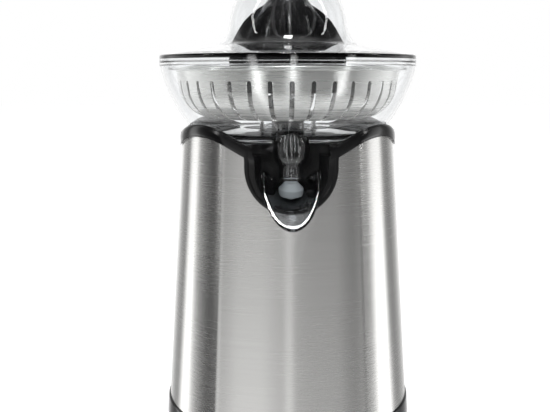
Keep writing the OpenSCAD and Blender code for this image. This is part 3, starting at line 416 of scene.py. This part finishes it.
def plastic(name, low, high, rough=(0.3, 0.45), grain=900, depth=0.15):
    """Moulded plastic with a fine grain and a faint broad unevenness."""
    mat, tree, shader, _ = material(name)
    broad = noise(tree, 35, detail=4)
    tree.links.new(tint(tree, broad, low, high), shader.inputs["Base Color"])
    tree.links.new(spread(tree, broad, *rough), shader.inputs["Roughness"])
    tree.links.new(bump(tree, noise(tree, grain, detail=2), depth, 0.00005), shader.inputs["Normal"])
    return mat


def metal(name, low, high, rough, stretch=(1, 1, 1), scale=60, depth=0.1, aniso=0.0, metallic=1.0):
    """Bare metal; a stretch draws its noise out into brushed lines round the upright axis."""
    mat, tree, shader, _ = material(name)
    lines = noise(tree, scale, stretch, detail=4, rough=0.6)
    broad = noise(tree, 14, detail=3)
    uneven = maths(tree, "ADD", spread(tree, lines, *rough), spread(tree, broad, -0.02, 0.02))
    shader.inputs["Metallic"].default_value = metallic
    tree.links.new(tint(tree, lines, low, high), shader.inputs["Base Color"])
    tree.links.new(uneven, shader.inputs["Roughness"])
    tree.links.new(bump(tree, lines, depth, 0.00003), shader.inputs["Normal"])
    if aniso:
        shader.inputs["Anisotropic"].default_value = aniso
        shader.inputs["Anisotropic Rotation"].default_value = 0.25
        tangent = tree.nodes.new("ShaderNodeTangent")
        tangent.direction_type, tangent.axis = "RADIAL", "Z"
        tree.links.new(tangent.outputs[0], shader.inputs["Tangent"])
    return mat


def basket_steel():
    """Satin sheet, matt towards its bottom, with painted shade inside: its colour is darkened where cone and
    rim would keep it in the shade.
    """
    mat = metal("satin_basket", (0.74, 0.74, 0.72), (0.80, 0.80, 0.78), (0.24, 0.32),
                stretch=(30, 30, 900), scale=1, depth=0.03, aniso=0.6)
    tree = mat.node_tree
    shader = next(n for n in tree.nodes if n.type == "BSDF_PRINCIPLED")
    here = tree.nodes.new("ShaderNodeTexCoord").outputs["Object"]
    split = tree.nodes.new("ShaderNodeSeparateXYZ")
    tree.links.new(here, split.inputs[0])
    matt, bright, matt_z, bright_z = 0.3, 0.85, 0.216, 0.229
    tree.links.new(spread(tree, split.outputs[2], matt, bright, matt_z, bright_z), shader.inputs["Metallic"])

    # Painted shade: faces turned towards the axis get their colour multiplied by shade, standing in for the
    # shadow of cone and rim.
    sideways = vector_maths(tree, "MULTIPLY", here, (1, 1, 0))
    outward = vector_maths(tree, "ADD", sideways, (0, 0, -0.05))
    normal = tree.nodes.new("ShaderNodeNewGeometry").outputs["True Normal"]
    outside = vector_maths(tree, "DOT_PRODUCT", normal, outward, "Value")
    shade, edge = 0.3, 0.004
    level = spread(tree, outside, shade, 1.0, -edge, edge)
    colour = shader.inputs["Base Color"].links[0].from_socket
    tree.links.new(product(tree, 1.0, colour, level), shader.inputs["Base Color"])
    return mat


def clear(name, colour):
    """Clear plastic that lets most of a lamp's light through to what is inside."""
    mat, tree, shader, out = material(name)
    shader.inputs["Base Color"].default_value = (*colour, 1)
    shader.inputs["Transmission Weight"].default_value = 1.0
    shader.inputs["IOR"].default_value = 1.47
    shader.inputs["Roughness"].default_value = 0.0
    tree.links.new(bump(tree, noise(tree, 9, detail=1), 0.03, 0.0004), shader.inputs["Normal"])
    path = tree.nodes.new("ShaderNodeLightPath")
    through = maths(tree, "MULTIPLY", path.outputs["Is Shadow Ray"], 0.95)
    unseen = tree.nodes.new("ShaderNodeBsdfTransparent")
    tree.links.new(mix_shaders(tree, through, shader.outputs[0], unseen.outputs[0]), out.inputs[0])
    return mat


def silicone():
    mat, tree, shader, _ = material("grey_silicone")
    broad = noise(tree, 60, detail=3)
    low, high = (0.30, 0.335, 0.355), (0.33, 0.365, 0.385)
    tree.links.new(tint(tree, broad, low, high), shader.inputs["Base Color"])
    tree.links.new(spread(tree, broad, 0.6, 0.7), shader.inputs["Roughness"])
    tree.links.new(bump(tree, noise(tree, 1400), 0.2, 0.00004), shader.inputs["Normal"])
    shader.inputs["Subsurface Weight"].default_value = 0.25
    shader.inputs["Subsurface Radius"].default_value = (0.004, 0.004, 0.004)
    shader.inputs["Subsurface Scale"].default_value = 1.0
    return mat


WRAP = metal("brushed_wrap", (0.72, 0.715, 0.70), (0.78, 0.775, 0.76), (0.24, 0.28),
             stretch=(14, 14, 1800), scale=1, depth=0.05, aniso=0.95, metallic=0.94)
BASKET = basket_steel()
GROUND = metal("ground_steel", (0.62, 0.62, 0.62), (0.72, 0.72, 0.72), (0.12, 0.2),
               stretch=(60, 60, 900), scale=1)
ZINC = metal("zinc_screws", (0.5, 0.51, 0.53), (0.6, 0.61, 0.63), (0.25, 0.38), scale=300)
PLATED = metal("motor_steel", (0.36, 0.36, 0.38), (0.46, 0.46, 0.48), (0.3, 0.42), scale=90)
BRONZE = metal("sintered_bronze", (0.48, 0.3, 0.15), (0.58, 0.38, 0.2), (0.35, 0.5), scale=900, depth=0.4)
BRASS = metal("cut_brass", (0.66, 0.5, 0.22), (0.76, 0.58, 0.3), (0.18, 0.3), scale=200)
BLACK = plastic("black_gloss", (0.004, 0.004, 0.0043), (0.006, 0.006, 0.0065), (0.14, 0.2), 600, 0.06)
CONE_BLACK = plastic("cone_black", (0.003, 0.003, 0.0033), (0.005, 0.005, 0.0055), (0.18, 0.24), 500, 0.06)
DARK = plastic("dark_moulding", (0.028, 0.028, 0.03), (0.04, 0.04, 0.043), (0.45, 0.6), 1500, 0.5)
WHITE = plastic("natural_acetal", (0.72, 0.70, 0.64), (0.78, 0.76, 0.70), (0.35, 0.5), 800)
RED = plastic("red_button", (0.45, 0.05, 0.035), (0.52, 0.06, 0.045), (0.3, 0.4))
RUBBER = plastic("black_rubber", (0.018, 0.018, 0.018), (0.03, 0.03, 0.03), (0.6, 0.75), 1200, 0.5)
CLEAR = clear("clear_plastic", (0.972, 0.98, 0.985))
# Clear plastic tinted grey: painted shade that dims the bright light seen through the spout's rounded rim.
SHADE_TINTED_CLEAR = clear("clear_plastic_painted_shade", (0.56, 0.58, 0.60))
SILICONE = silicone()


# ---------------------------------------------------------------- clear lid

def lid_line():
    """The lid's outside from its top to its outer corner: a full dome, a soft flare and a sloping flange."""
    dome_foot_z, dome_low_z, fullness, last_turn, slimmer = 268.0, 275.0, 2.2, 0.885, 0.951
    flare = (38.6, 274.0), (39.8, 268.6), (42.0, 262.0), (46.8, 259.36)
    line = []
    for k in range(31):
        u = cos(pi / 2 * k / 30 * last_turn)
        z = dome_foot_z + (DOME_Z + DOME_R - dome_foot_z) * u
        line.append((DOME_R * slimmer * (1 - u ** fullness) ** (1 / fullness), max(z, dome_low_z)))
    line += bezier(*flare, 16)
    corner_x = BOWL_R - LID_CORNER_R
    flange_w = corner_x - DOME_R - FLARE_W
    corner_z = DOME_Z - FLARE_DROP * cos(LID_SLOPE) - LID_CORNER_R - flange_w * tan(LID_SLOPE)
    corner = arc((corner_x, corner_z), LID_CORNER_R, 80, 0, 8)
    return line + straight(flare[-1], corner[0], 8, 1) + corner


def make_lid():
    """The shell, with a shelf and a tongue that stands in the bowl's rim."""
    outer = lid_line()
    inner = [(max(r, 0), z) for r, z in offset_line(outer, LID_T) if r < BOWL_R - 3.5]
    inner.append((BOWL_R - LID_T, inner[-1][1] - 1.6))
    shelf_z, tongue_z, tongue_in = LID_JOINT_Z + SHELF_H, LID_JOINT_Z - TONGUE_H, TONGUE_R - LID_T
    foot = [(BOWL_R, LID_JOINT_Z, 0.3), (TONGUE_R, LID_JOINT_Z, 0.2), (TONGUE_R, tongue_z, 0.5),
            (tongue_in, tongue_z, 0.5), (tongue_in, shelf_z, 0.5), (BOWL_R - LID_T, shelf_z, 0.5)]
    foot = rounded([outer[-1]] + foot + [inner[-1]], 0.3)[5:-5]
    return revolve("lid_shell", outer + foot + inner[::-1], 192, angle=50)


place(make_lid(), "lid", "clear_plastic", CLEAR, "dome_lid")


# ---------------------------------------------------------------- clear bowl with its outlet

def bowl_line(inset):
    """The bowl's wall from its rim to its floor, moved inwards by an inset."""
    join = math.degrees(math.asin((BOWL_ARC[1] - BOWL_CORNER[1]) / BOWL_SINE_R))
    wall = arc(BOWL_ARC, BOWL_ARC_R - inset, -BOWL_ARC_TOP, -join, 24)
    return wall + arc(BOWL_CORNER, BOWL_CORNER_R - inset, -join - 6, -90, 10)


def make_bowl():
    floor, side = BOWL_FLOOR_Z + BOWL_T, 50.0
    foot_in = BOWL_FOOT_R - BOWL_FOOT_T
    under = rounded([
        (side, BOWL_FLOOR_Z, 0), (BOWL_FOOT_R, BOWL_FLOOR_Z), (BOWL_FOOT_R, PLATFORM_Z, 0.8),
        (foot_in, PLATFORM_Z, 0.8), (foot_in, BOWL_FLOOR_Z), (SKIRT_BORE_R, BOWL_FLOOR_Z),
        (SKIRT_BORE_R, SKIRT_TOP_Z), (TOWER_BORE_R, SKIRT_TOP_Z), (TOWER_BORE_R, TOWER_TOP_Z),
        (TOWER_R, TOWER_TOP_Z), (TOWER_R, STRAINER_Z), (SKIRT_R, STRAINER_Z, 0.8),
        (SKIRT_R, floor, 1.5), (side, floor, 0)], 0.5, 3)
    bowl = revolve("bowl_shell", bowl_line(0) + under + bowl_line(BOWL_T)[::-1], 192, angle=50)
    bulb = [(0, 204.6), (8.6, 204.6), (10.2, 202.4), (11.0, 199.5), (11.2, 196), (11.1, 192.5), (10.5, 189.6),
            (9.3, 187.2), (8.0, 185.6), (7.6, 184.4), (7.6, 178.4), (8.1, 177.9), (8.1, 176.8),
            (7.9, MOUTH_Z), (0, MOUTH_Z)]
    bore = [(0, 204), (9, 204), (9, 192.5), (8.5, 190), (7.4, 187.6), (6.3, 185.9), (5.9, 184.6),
            (5.9, MOUTH_Z - 1.5), (0, MOUTH_Z - 1.5)]
    boolean(bowl, revolve("bulb", bulb, 64, (0, NOZZLE_Y)), "UNION")
    boolean(bowl, revolve("bore", bore, 64, (0, NOZZLE_Y)), "DIFFERENCE")
    return smooth(bowl, 40)


place(make_bowl(), "bowl", "clear_plastic", CLEAR, "juice_bowl")


# ---------------------------------------------------------------- slotted strainer

def sheet_profile():
    """The basket's outside from its rim down to the hub."""
    bend_start = arc(STRAINER_BEND, STRAINER_BEND_R, -STRAINER_DRAFT, -90, 34)
    wall = straight((STRAINER_R, STRAINER_Z + STRAINER_H), bend_start[0], 8)
    floor = straight((STRAINER_BEND[0], STRAINER_Z), (HUB_R, STRAINER_Z), 14, 1)
    return wall + bend_start + floor + [(HUB_R, STRAINER_Z)]


def make_strainer():
    """One sheet: columns that part round each slot, thickened afterwards."""
    profile = sheet_profile()
    length = [0.0]
    for a, b in zip(profile, profile[1:]):
        length.append(length[-1] + math.dist(a, b))

    def at(s):
        for i in range(len(profile) - 1):
            if s <= length[i + 1]:
                t = (s - length[i]) / (length[i + 1] - length[i])
                return tuple(profile[i][j] + (profile[i + 1][j] - profile[i][j]) * t for j in (0, 1))
        return profile[-1]

    half = SLOT_W / 2
    top = next(s for s, (_, z) in zip(length, profile) if z < STRAINER_Z + SLOT_TOP_H)
    low = next(s for s, (r, _) in zip(length, profile) if r < SLOT_LOW_R)
    stations = [top * k / 8 for k in range(8)]
    stations += [top + half * (1 - cos(pi / 2 * k / 5)) for k in range(6)]
    stations += [top + half + (low - top - 2 * half) * k / 22 for k in range(1, 22)]
    stations += [low - half + half * sin(pi / 2 * k / 5) for k in range(6)]
    stations += [low + (length[-1] - low) * k / 10 for k in range(1, 11)]

    def column(middle, side, s):
        """One row of points from the slot's edge to halfway to the next slot."""
        r, z = at(s)
        opening = 0.0
        if top < s < low:
            near = min(s - top, low - s, half)
            opening = sqrt(max(half ** 2 - (half - near) ** 2, 0))
        gap, width, crowding = opening / r, pi / SLOTS, 1.4
        turns = [middle + side * (gap + (width - gap) * (c / 6) ** crowding) for c in range(7)]
        return [bm.verts.new((r * sin(a) * MM, -r * cos(a) * MM, z * MM)) for a in turns]

    bm = bmesh.new()
    for k in range(SLOTS):
        for side in (-1, 1):
            rows = [column(k * 2 * pi / SLOTS, side, s) for s in stations]
            for upper, lower in zip(rows, rows[1:]):
                for c in range(6):
                    quad = (upper[c], upper[c + 1], lower[c + 1], lower[c])
                    bm.faces.new(quad if side > 0 else quad[::-1])
    sheet = finish_mesh("strainer_sheet", bm, 60, 1e-5)
    thicken(sheet, STRAINER_T)
    ease_edges(sheet, 0.22, 50)
    return smooth(apply_modifiers(sheet), 40)


def make_strainer_rim():
    roll = arc((RIM_ROLL_AT, STRAINER_Z + STRAINER_H), RIM_ROLL_R, 0, 345, 23)
    return revolve("strainer_rim", roll, 192, angle=60)


def make_strainer_hub():
    """The collar that turns up round the bowl's tower."""
    sheet_z, flange_r = STRAINER_Z + STRAINER_T, 17.0
    outline = [(HUB_BORE_R, STRAINER_Z, 0.6), (HUB_BORE_R, HUB_TOP_Z, 0.2), (HUB_R, HUB_TOP_Z, 0.2),
               (HUB_R, sheet_z, 0.8), (flange_r, sheet_z, 0), (flange_r, STRAINER_Z, 0)]
    return revolve("strainer_hub", rounded(outline, 0.2), 96, angle=50)


place(make_strainer(), "strainer", "strainer_steel", BASKET, "strainer_basket")
place(make_strainer_rim(), "strainer", "strainer_steel", BASKET)
place(make_strainer_hub(), "strainer", "strainer_steel", BASKET)


# ---------------------------------------------------------------- reamer cone

def core_r(z):
    """Radius between the ribs."""
    u = min(max((z - CONE_FOOT_Z) / CONE_H, 0), 1)
    return CORE_R * (1 - u ** 1.6) ** 0.625


def rib_r(z):
    """Radius on the ribs, upright at the foot and then a quarter ellipse."""
    over = z - CONE_FOOT_Z - RIB_WIDE_H
    return CONE_R * sqrt(max(1 - (max(over, 0) / (CONE_H - RIB_TOP_DROP)) ** 2, 0))


def make_cone():
    steps, crowding = 48, 1.7
    tip = CONE_FOOT_Z + CONE_H
    heights = [CONE_FOOT_Z + (CONE_H - TIP_H) * k / 60 for k in range(61)]
    heights += [tip - TIP_H + TIP_H * sin(pi / 2 * k / 16) for k in range(1, 17)]
    pitch = 2 * pi / RIBS
    rows = []
    for z in heights:
        row = []
        core, rib = core_r(z), rib_r(z)
        half = RIB_HALF - RIB_HALF_FALL * (z - CONE_FOOT_Z) / (CONE_H - 9)
        for k in range(RIBS):
            for c in range(steps):
                t = 2 * (c / steps - 0.5)
                a = pitch * math.copysign(abs(t) ** crowding, t) / 2
                across = max(core, rib, 1.0) * abs(a)
                fall = min(max((across - half + FLANK_START) / FLANK_W, 0), 1)
                lift = 1 - fall * fall * (3 - 2 * fall)
                crown = RIB_CROWN * min(across / max(half, 0.1), 1) ** 2
                r = core + max(rib - core - crown, 0) * lift
                turn = pitch * k + a
                row.append((r * sin(turn), -r * cos(turn), z))
        rows.append(row)
    return grid_mesh("reamer_shell", rows, wrap_cols=True, angle=55)


def make_cone_foot():
    outline = [(33.4, 228.2), (39.3, 228.2), (CONE_R, 232.8), (33.4, 232.8)]
    return revolve("reamer_foot", rounded(outline, 0.7), 160)


place(make_cone(), "reamer", "black_plastic", CONE_BLACK, "reamer_cone")
place(make_cone_foot(), "reamer", "black_plastic", CONE_BLACK)


# ---------------------------------------------------------------- steel wrap

def angles():
    """Columns round the housing in degrees, closer together at the creases."""
    marks = {round(-180 + 1.5 * k, 4) for k in range(241)}
    for side in (-1, 1):
        marks |= {round(side * (math.degrees(CREASE) + 0.28 * k), 4) for k in range(-10, 11)}
    return sorted(marks)


def housing_point(phi, z, out=0.0):
    """A point on the housing's outside, or proud of it."""
    r = section_r(phi, z, 0.3) + out
    return (r * sin(phi), -r * cos(phi), z)


STEEL_RECESS_R = RECESS_R - 0.4  # the steel goes this far under the recess's lip
UNDER_TRIM, RIM_MIDDLE_Z = 0.8, 200


def wrap_top(phi):
    """Where the steel ends, a little under the trim."""
    x = section_r(phi, RIM_MIDDLE_Z) * sin(phi)
    back = cos(phi) < 0
    if not back and abs(x) < STEEL_RECESS_R:
        return RECESS_Z - sqrt(STEEL_RECESS_R ** 2 - x * x) + 0.2
    return rim_z(x, back, RIM_BAND - UNDER_TRIM)


def make_wrap():
    edge_phi, edge_z = 0.38, 195
    edges = [math.asin(STEEL_RECESS_R * side / section_r(edge_phi, edge_z)) for side in (-1, 1)]
    beside = [e * t for e in edges for t in (0.999, 0.98, 0.95, 0.9, 0.84, 0.7)]
    cols = sorted(set([rad(a) for a in angles()] + edges + beside))
    low, steps = WRAP_Z - 0.3, 60
    rows = [[housing_point(a, low + (wrap_top(a) - low) * i / steps) for a in cols] for i in range(steps + 1)]
    wrap = grid_mesh("steel_sleeve", rows, angle=80)
    thicken(wrap, WRAP_T)
    return smooth(apply_modifiers(wrap), 60)


place(make_wrap(), "housing", "wrap_steel", WRAP, "steel_wrap")


# ---------------------------------------------------------------- black rim trim and top cover

# share of the trim's width from its outer line to its inner one, and how far it stands proud there
TRIM_SECTION = [(0.0, -0.7), (0.0, 0.45), (0.05, 0.85), (0.14, 1.12), (0.3, 1.3), (0.5, 1.38), (0.7, 1.3),
                (0.86, 1.0), (0.95, 0.55), (1.0, 0.0), (1.01, -0.9), (0.99, -1.9), (0.9, -2.4)]
TRIM_END_X = 70.0


def trim_stations():
    """Points (x, z) on the trim's outer and inner line, from the recess's foot up and out to the side."""
    outer, inner = RECESS_R, RECESS_R - RECESS_LIP
    outer_top, inner_top = rim_z(outer, drop=RIM_BAND), rim_z(inner)
    turns = [rad(-90 + 90 * k / 18) for k in range(19)]
    pairs = [tuple((r * cos(a), RECESS_Z + r * sin(a)) for r in (outer, inner)) for a in turns]
    for k in range(1, 5):
        pairs.append(((outer, RECESS_Z + (outer_top - RECESS_Z) * k / 5),
                      (inner, RECESS_Z + (inner_top - RECESS_Z) * k / 5)))
    pairs.append(((outer + 0.3, rim_z(outer + 0.6, drop=RIM_BAND)), (inner + 0.2, inner_top - 0.4)))
    x = outer
    while x < TRIM_END_X:
        x += 1.6
        inner_x = x - 3.2 * max(0, (45 - x) / 17)
        pairs.append(((x, rim_z(x, drop=RIM_BAND)), (inner_x, rim_z(inner_x))))
    return pairs


def make_front_trim(name, side):
    rows = []
    for (outer_x, outer_z), (inner_x, inner_z) in trim_stations():
        row = []
        for share, proud in TRIM_SECTION:
            x, z = outer_x + (inner_x - outer_x) * share, outer_z + (inner_z - outer_z) * share
            phi = math.asin(min(x / 72, 1))
            for _ in range(4):
                phi = math.asin(max(min(x / section_r(phi, z), 1), 0))
            p = housing_point(phi, z, proud)
            row.append((p[0] * side, p[1], p[2]))
        rows.append(row if side > 0 else row[::-1])
    return grid_mesh(name, rows, angle=50)


def make_back_trim():
    """The band round the sides and back, from crest to crest."""
    rows = []
    start = math.asin(TRIM_END_X / body_r(RIM_MIDDLE_Z))
    for k in range(181):
        phi = start + (2 * pi - 2 * start) * k / 180
        x = section_r(phi, 203) * sin(phi)
        low, high = rim_z(x, cos(phi) < 0, RIM_BAND), rim_z(x, cos(phi) < 0)
        rows.append([housing_point(phi, low + (high - low) * share, proud) for share, proud in TRIM_SECTION])
    return grid_mesh("rim_trim_back", rows, angle=50)


for part in (make_front_trim("rim_trim_right", 1), make_front_trim("rim_trim_left", -1), make_back_trim()):
    place(part, "housing", "black_plastic", BLACK)
place(soft_copy("top_cover", "top_moulding", 0.2), "housing", "black_plastic", BLACK, "top_cover")


# ---------------------------------------------------------------- base

def make_base():
    """The band's section, given by how far it stands out from the housing's line, run all round."""
    outline = [(-3.4, 4.0, 0.6), (-0.2, 4.0, 1.2), (BASE_PROUD, 7.0, 1.5), (BASE_PROUD, 19.2, 1.6),
               (-0.3, 20.6, 0.2), (-1.2, 20.6, 0.2), (-1.2, 30, 0.3), (-3.0, 30, 0.3), (-3.2, 19.5, 0.4)]
    rows = [[housing_point(rad(a), z, out) for a in angles()] for out, z in rounded(outline, 0.5)]
    return grid_mesh("base_moulding", rows, wrap_rows=True, angle=40)


place(make_base(), "housing", "black_plastic", BLACK, "base_band")


# ---------------------------------------------------------------- spout and plug

def make_scoop():
    """The CAD's scoop with all its edges melted a little, as a clear moulding has them."""
    obj = finish_mesh("spout_scoop", joined_copy("spout_trough"), 40, 1e-7)
    fine = obj.modifiers.new("fine", "REMESH")
    fine.mode, fine.voxel_size = "VOXEL", 0.32 * MM
    ease = obj.modifiers.new("ease", "SMOOTH")
    ease.factor, ease.iterations = 0.5, 10
    fewer = obj.modifiers.new("fewer", "DECIMATE")
    fewer.ratio = 0.35
    return smooth(apply_modifiers(obj), 80)


def bed_floor(x, y):
    """Height of the spout's inner floor, round across and sloping forward."""
    inner = SPOUT_BED_R - SPOUT_T
    rise = inner - sqrt(max(inner ** 2 - x * x, 0))
    return HINGE_Z - SPOUT_DROP + (y - HINGE_Y) * tan(SPOUT_SLOPE) + rise / cos(SPOUT_SLOPE)


def make_plug():
    """A head on a stem that ends on the bed, made upright under the outlet and turned down with the spout."""
    base = PLUG_TOP_Z - PLUG_CONE_H
    head_z, stem_z = base - PLUG_HEAD_H, base - PLUG_STEM_H
    outline = rounded([
        (0, PLUG_TOP_Z, 0), (PLUG_TOP_R, PLUG_TOP_Z, 0.6), (PLUG_R, base, 0.8), (PLUG_R, head_z, 0.5),
        (PLUG_STEM_R, head_z, 0.3), (PLUG_STEM_R, stem_z, 0), (0, stem_z, 0)], 0.5, 6)
    stem = straight((PLUG_STEM_R, head_z - 1), (PLUG_STEM_R, stem_z), 12, 1)
    plug = revolve("plug_body", outline[:-2] + stem + outline[-2:], 72, (0, NOZZLE_Y), closed=False, angle=60)
    reach, rise = NOZZLE_Y - HINGE_Y, PLUG_TOP_Z - HINGE_Z
    top_y = HINGE_Y + reach * cos(FLIP) - rise * sin(FLIP)
    top_z = HINGE_Z + reach * sin(FLIP) + rise * cos(FLIP)
    c, s = cos(PLUG_LEAN), sin(PLUG_LEAN)
    for v in plug.data.vertices:
        y, z = v.co.y / MM - NOZZLE_Y, v.co.z / MM - PLUG_TOP_Z
        v.co.y, v.co.z = (y * c - z * s + top_y) * MM, (y * s + z * c + top_z) * MM
        v.co.z = max(v.co.z, (bed_floor(v.co.x / MM, v.co.y / MM) - 0.2) * MM)
    return smooth(plug, 60)


# The spout takes the grey-tinted clear plastic, whose tint is painted shade.
place(make_scoop(), "spout", "clear_plastic", SHADE_TINTED_CLEAR, "spout_trough")
place(make_plug(), "spout", "silicone", SILICONE, "drip_plug")

# ---------------------------------------------------------------- CAD nodes that keep their shape

KEPT = {
    "spout_pivot_pins": GROUND, "bottom_cover": DARK, "rubber_feet": RUBBER, "bottom_screws": ZINC,
    "cord_gland": RUBBER, "drive_shaft": GROUND, "shaft_seal": RUBBER, "upper_bush": BRONZE,
    "thrust_cup": WHITE, "return_spring": GROUND, "final_gear": WHITE, "idler_gear": WHITE,
    "idler_pin": GROUND, "motor_pinion": BRASS, "motor_rotor": PLATED, "motor_can": PLATED,
    "motor_end_cap": DARK, "motor_screws": ZINC, "gearbox_case": DARK, "gearbox_cover": DARK,
    "gearbox_screws": ZINC, "press_switch": DARK, "switch_plunger": RED, "switch_screws": ZINC,
    "terminal_block": WHITE,
}
for name, mat in KEPT.items():
    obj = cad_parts[name]
    if not obj.material_slots:
        obj.data.materials.append(mat)
    for held in obj.material_slots:
        held.material = mat


# ---------------------------------------------------------------- floor

def make_floor():
    """A pale floor, brighter to the camera so that it meets the white behind, and clear to mirror rays."""
    bm = bmesh.new()
    bmesh.ops.create_circle(bm, cap_ends=True, radius=6.0, segments=96)
    mesh = bpy.data.meshes.new("floor")
    bm.to_mesh(mesh)
    bm.free()
    floor = bpy.data.objects.new("floor", mesh)
    bpy.context.scene.collection.objects.link(floor)
    mat, tree, shader, out = material("floor_white")
    tree.nodes.remove(shader)
    path = tree.nodes.new("ShaderNodeLightPath")
    diffuse = tree.nodes.new("ShaderNodeBsdfDiffuse")
    diffuse.inputs[0].default_value = (0.8, 0.8, 0.8, 1)
    seen = maths(tree, "MAXIMUM", path.outputs["Is Camera Ray"], path.outputs["Is Transmission Ray"])
    glow = tree.nodes.new("ShaderNodeEmission")
    glow.inputs[0].default_value = (1, 1, 1, 1)
    tree.links.new(maths(tree, "MULTIPLY", seen, 0.48), glow.inputs[1])
    lit = add_shaders(tree, diffuse.outputs[0], glow.outputs[0])
    unseen = tree.nodes.new("ShaderNodeBsdfTransparent")
    tree.links.new(mix_shaders(tree, path.outputs["Is Glossy Ray"], lit, unseen.outputs[0]), out.inputs[0])
    floor.data.materials.append(mat)


make_floor()

# ---------------------------------------------------------------- studio

# Stops of (degrees round the object, brightness): 0 is the camera's side and 90 the right-hand side.
# What brushed steel and black plastic mirror: soft boxes beside the object, cards and a strip in front.
BANDS_FULL = 4
BANDS = [
    (-180, 1.2), (-158, 1.1), (-147, 0.5), (-130, 0.2),
    (-123, 1.7), (-114, 2.0), (-108, 0.4), (-100, 0.2),
    (-88, 0.03), (-73, 0.0), (-68, 0.55), (-59, 0.7),
    (-52, 0.45), (-40, 0.68), (-20, 0.66), (-4, 0.42),
    (-0.5, 0.75), (1.5, 0.75), (4, 0.38), (38, 0.38),
    (51, 0.2), (58, 0.34), (64, 0.24), (72, 0.14),
    (88, 0.2), (97, 1.6), (111, 2.1), (117, 0.4),
    (128, 0.22), (142, 0.5), (158, 1.1), (180, 1.2),
]
# What clear plastic mirrors: dark, with narrow windows in front and white behind.
WINDOWS_FULL = 8
WINDOWS = [
    (-180, 1.2), (-150, 1.0), (-136, 0.6), (-124, 1.4), (-86, 0.8), (-60, 0.3),
    (-37, 0.08), (-35, 4), (-30, 4), (-28, 0.08),
    (0, 0.08), (1, 4.5), (5, 4.5), (6, 0.08),
    (50, 0.08), (52, 4), (56, 4), (58, 0.08),
    (70, 0.3), (90, 0.8), (122, 1.4), (136, 0.6), (150, 1.0), (180, 1.2),
]
# Stops of (degrees above the horizon, share): how much of either is left at each height, towards the front.
BAND_HEIGHTS = [(-90, 2.0), (-36, 2.0), (-24, 1.6), (-15, 1.25), (-9, 0.85), (-4, 0.68),
                (12, 0.45), (30, 0.15), (60, 0.12), (90, 0.3)]
WINDOW_HEIGHTS = [(-90, 0.3), (-46, 0.3), (-24, 0.5), (-16, 1.0), (4, 1.0), (7, 0.12), (50, 0.08), (90, 0.3)]
# The pale table below and the ceiling above, which everything clear mirrors alike all round.
TABLE = [(-90, 0.75), (-42, 0.7), (-30, 0.3), (-20, 0.0), (60, 0.0), (70, 0.3), (90, 0.45)]
# Diffuse surfaces are lit by this plain white.
SOFT_LIGHT = 0.65


def background(tree, colour, strength=1.0):
    node = tree.nodes.new("ShaderNodeBackground")
    feed(tree, node.inputs[0], colour)
    node.inputs[1].default_value = strength
    return node.outputs[0]


def make_world():
    """White behind the object, and the studio in what mirrors it."""
    world = bpy.data.worlds.new("studio")
    bpy.context.scene.world = world
    world.use_nodes = True
    tree = world.node_tree
    tree.nodes.clear()
    split = tree.nodes.new("ShaderNodeSeparateXYZ")
    tree.links.new(tree.nodes.new("ShaderNodeTexCoord").outputs["Generated"], split.inputs[0])
    forward = maths(tree, "MULTIPLY", split.outputs[1], -1.0)
    bearing = spread(tree, maths(tree, "ARCTAN2", split.outputs[0], forward), 0, 1, -pi, pi)
    height = spread(tree, split.outputs[2], 0, 1, -1, 1)
    ahead = spread(tree, forward, 0, 1, -0.75, -0.3)

    def round_it(stops, full):
        return grey_ramp(tree, bearing, [((degrees + 180) / 360, level / full) for degrees, level in stops])

    def upwards(stops):
        return grey_ramp(tree, height, [((sin(rad(degrees)) + 1) / 2, level) for degrees, level in stops])

    bands = product(tree, ahead, round_it(BANDS, BANDS_FULL), upwards(BAND_HEIGHTS))
    windows = product(tree, ahead, round_it(WINDOWS, WINDOWS_FULL), upwards(WINDOW_HEIGHTS))
    for_metal = background(tree, bands, BANDS_FULL)
    for_plastic = add_shaders(tree, background(tree, windows, WINDOWS_FULL), background(tree, upwards(TABLE)))
    plain = background(tree, (1, 1, 1, 1))
    soft = background(tree, (1, 1, 1, 1), SOFT_LIGHT)

    path = tree.nodes.new("ShaderNodeLightPath")
    mirrored = mix_shaders(tree, path.outputs["Is Singular Ray"], for_metal, for_plastic)
    indirect = mix_shaders(tree, path.outputs["Is Glossy Ray"], soft, mirrored)
    seen = maths(tree, "MAXIMUM", path.outputs["Is Camera Ray"], path.outputs["Is Transmission Ray"])
    straight_on = maths(tree, "MULTIPLY", seen, maths(tree, "LESS_THAN", path.outputs["Glossy Depth"], 0.5))
    out = tree.nodes.new("ShaderNodeOutputWorld")
    tree.links.new(mix_shaders(tree, straight_on, indirect, plain), out.inputs[0])


def lamp(name, place_at, aim, size, watts):
    light = bpy.data.lights.new(name, "AREA")
    light.shape, light.size, light.size_y = "RECTANGLE", size[0], size[1]
    light.energy = watts
    obj = bpy.data.objects.new(name, light)
    obj.location = place_at
    obj.rotation_euler = (Vector(aim) - Vector(place_at)).to_track_quat("-Z", "Y").to_euler()
    bpy.context.scene.collection.objects.link(obj)


make_world()
lamp("overhead", (0.0, -0.33, 1.45), (0, 0, 0.27), (0.2, 0.3), 8)
lamp("side_left", (-1.2, -0.3, 0.9), (0, 0, 0.2), (0.06, 0.9), 2)
lamp("side_right", (1.2, -0.2, 0.9), (0, 0, 0.2), (0.06, 0.9), 1.6)

# ---------------------------------------------------------------- camera, fitted to the photograph

DISTANCE, EYE_Z, TURN, PITCH = 0.52684, 0.2404, rad(2), rad(9.716)
LENS, SENSOR, PHOTO_W, AXIS_SHIFT = 50.62, 36.0, 550, 12.8
cam = bpy.data.cameras.new("camera")
cam.lens, cam.sensor_width = LENS, SENSOR
cam.shift_x = -AXIS_SHIFT / PHOTO_W
camera = bpy.data.objects.new("camera", cam)
camera.location = (-DISTANCE * sin(TURN), -DISTANCE * cos(TURN), EYE_Z)
camera.rotation_euler = (pi / 2 - PITCH, 0, -TURN)
bpy.context.scene.collection.objects.link(camera)
bpy.context.scene.camera = camera
bpy.context.scene.view_settings.view_transform = "Standard"
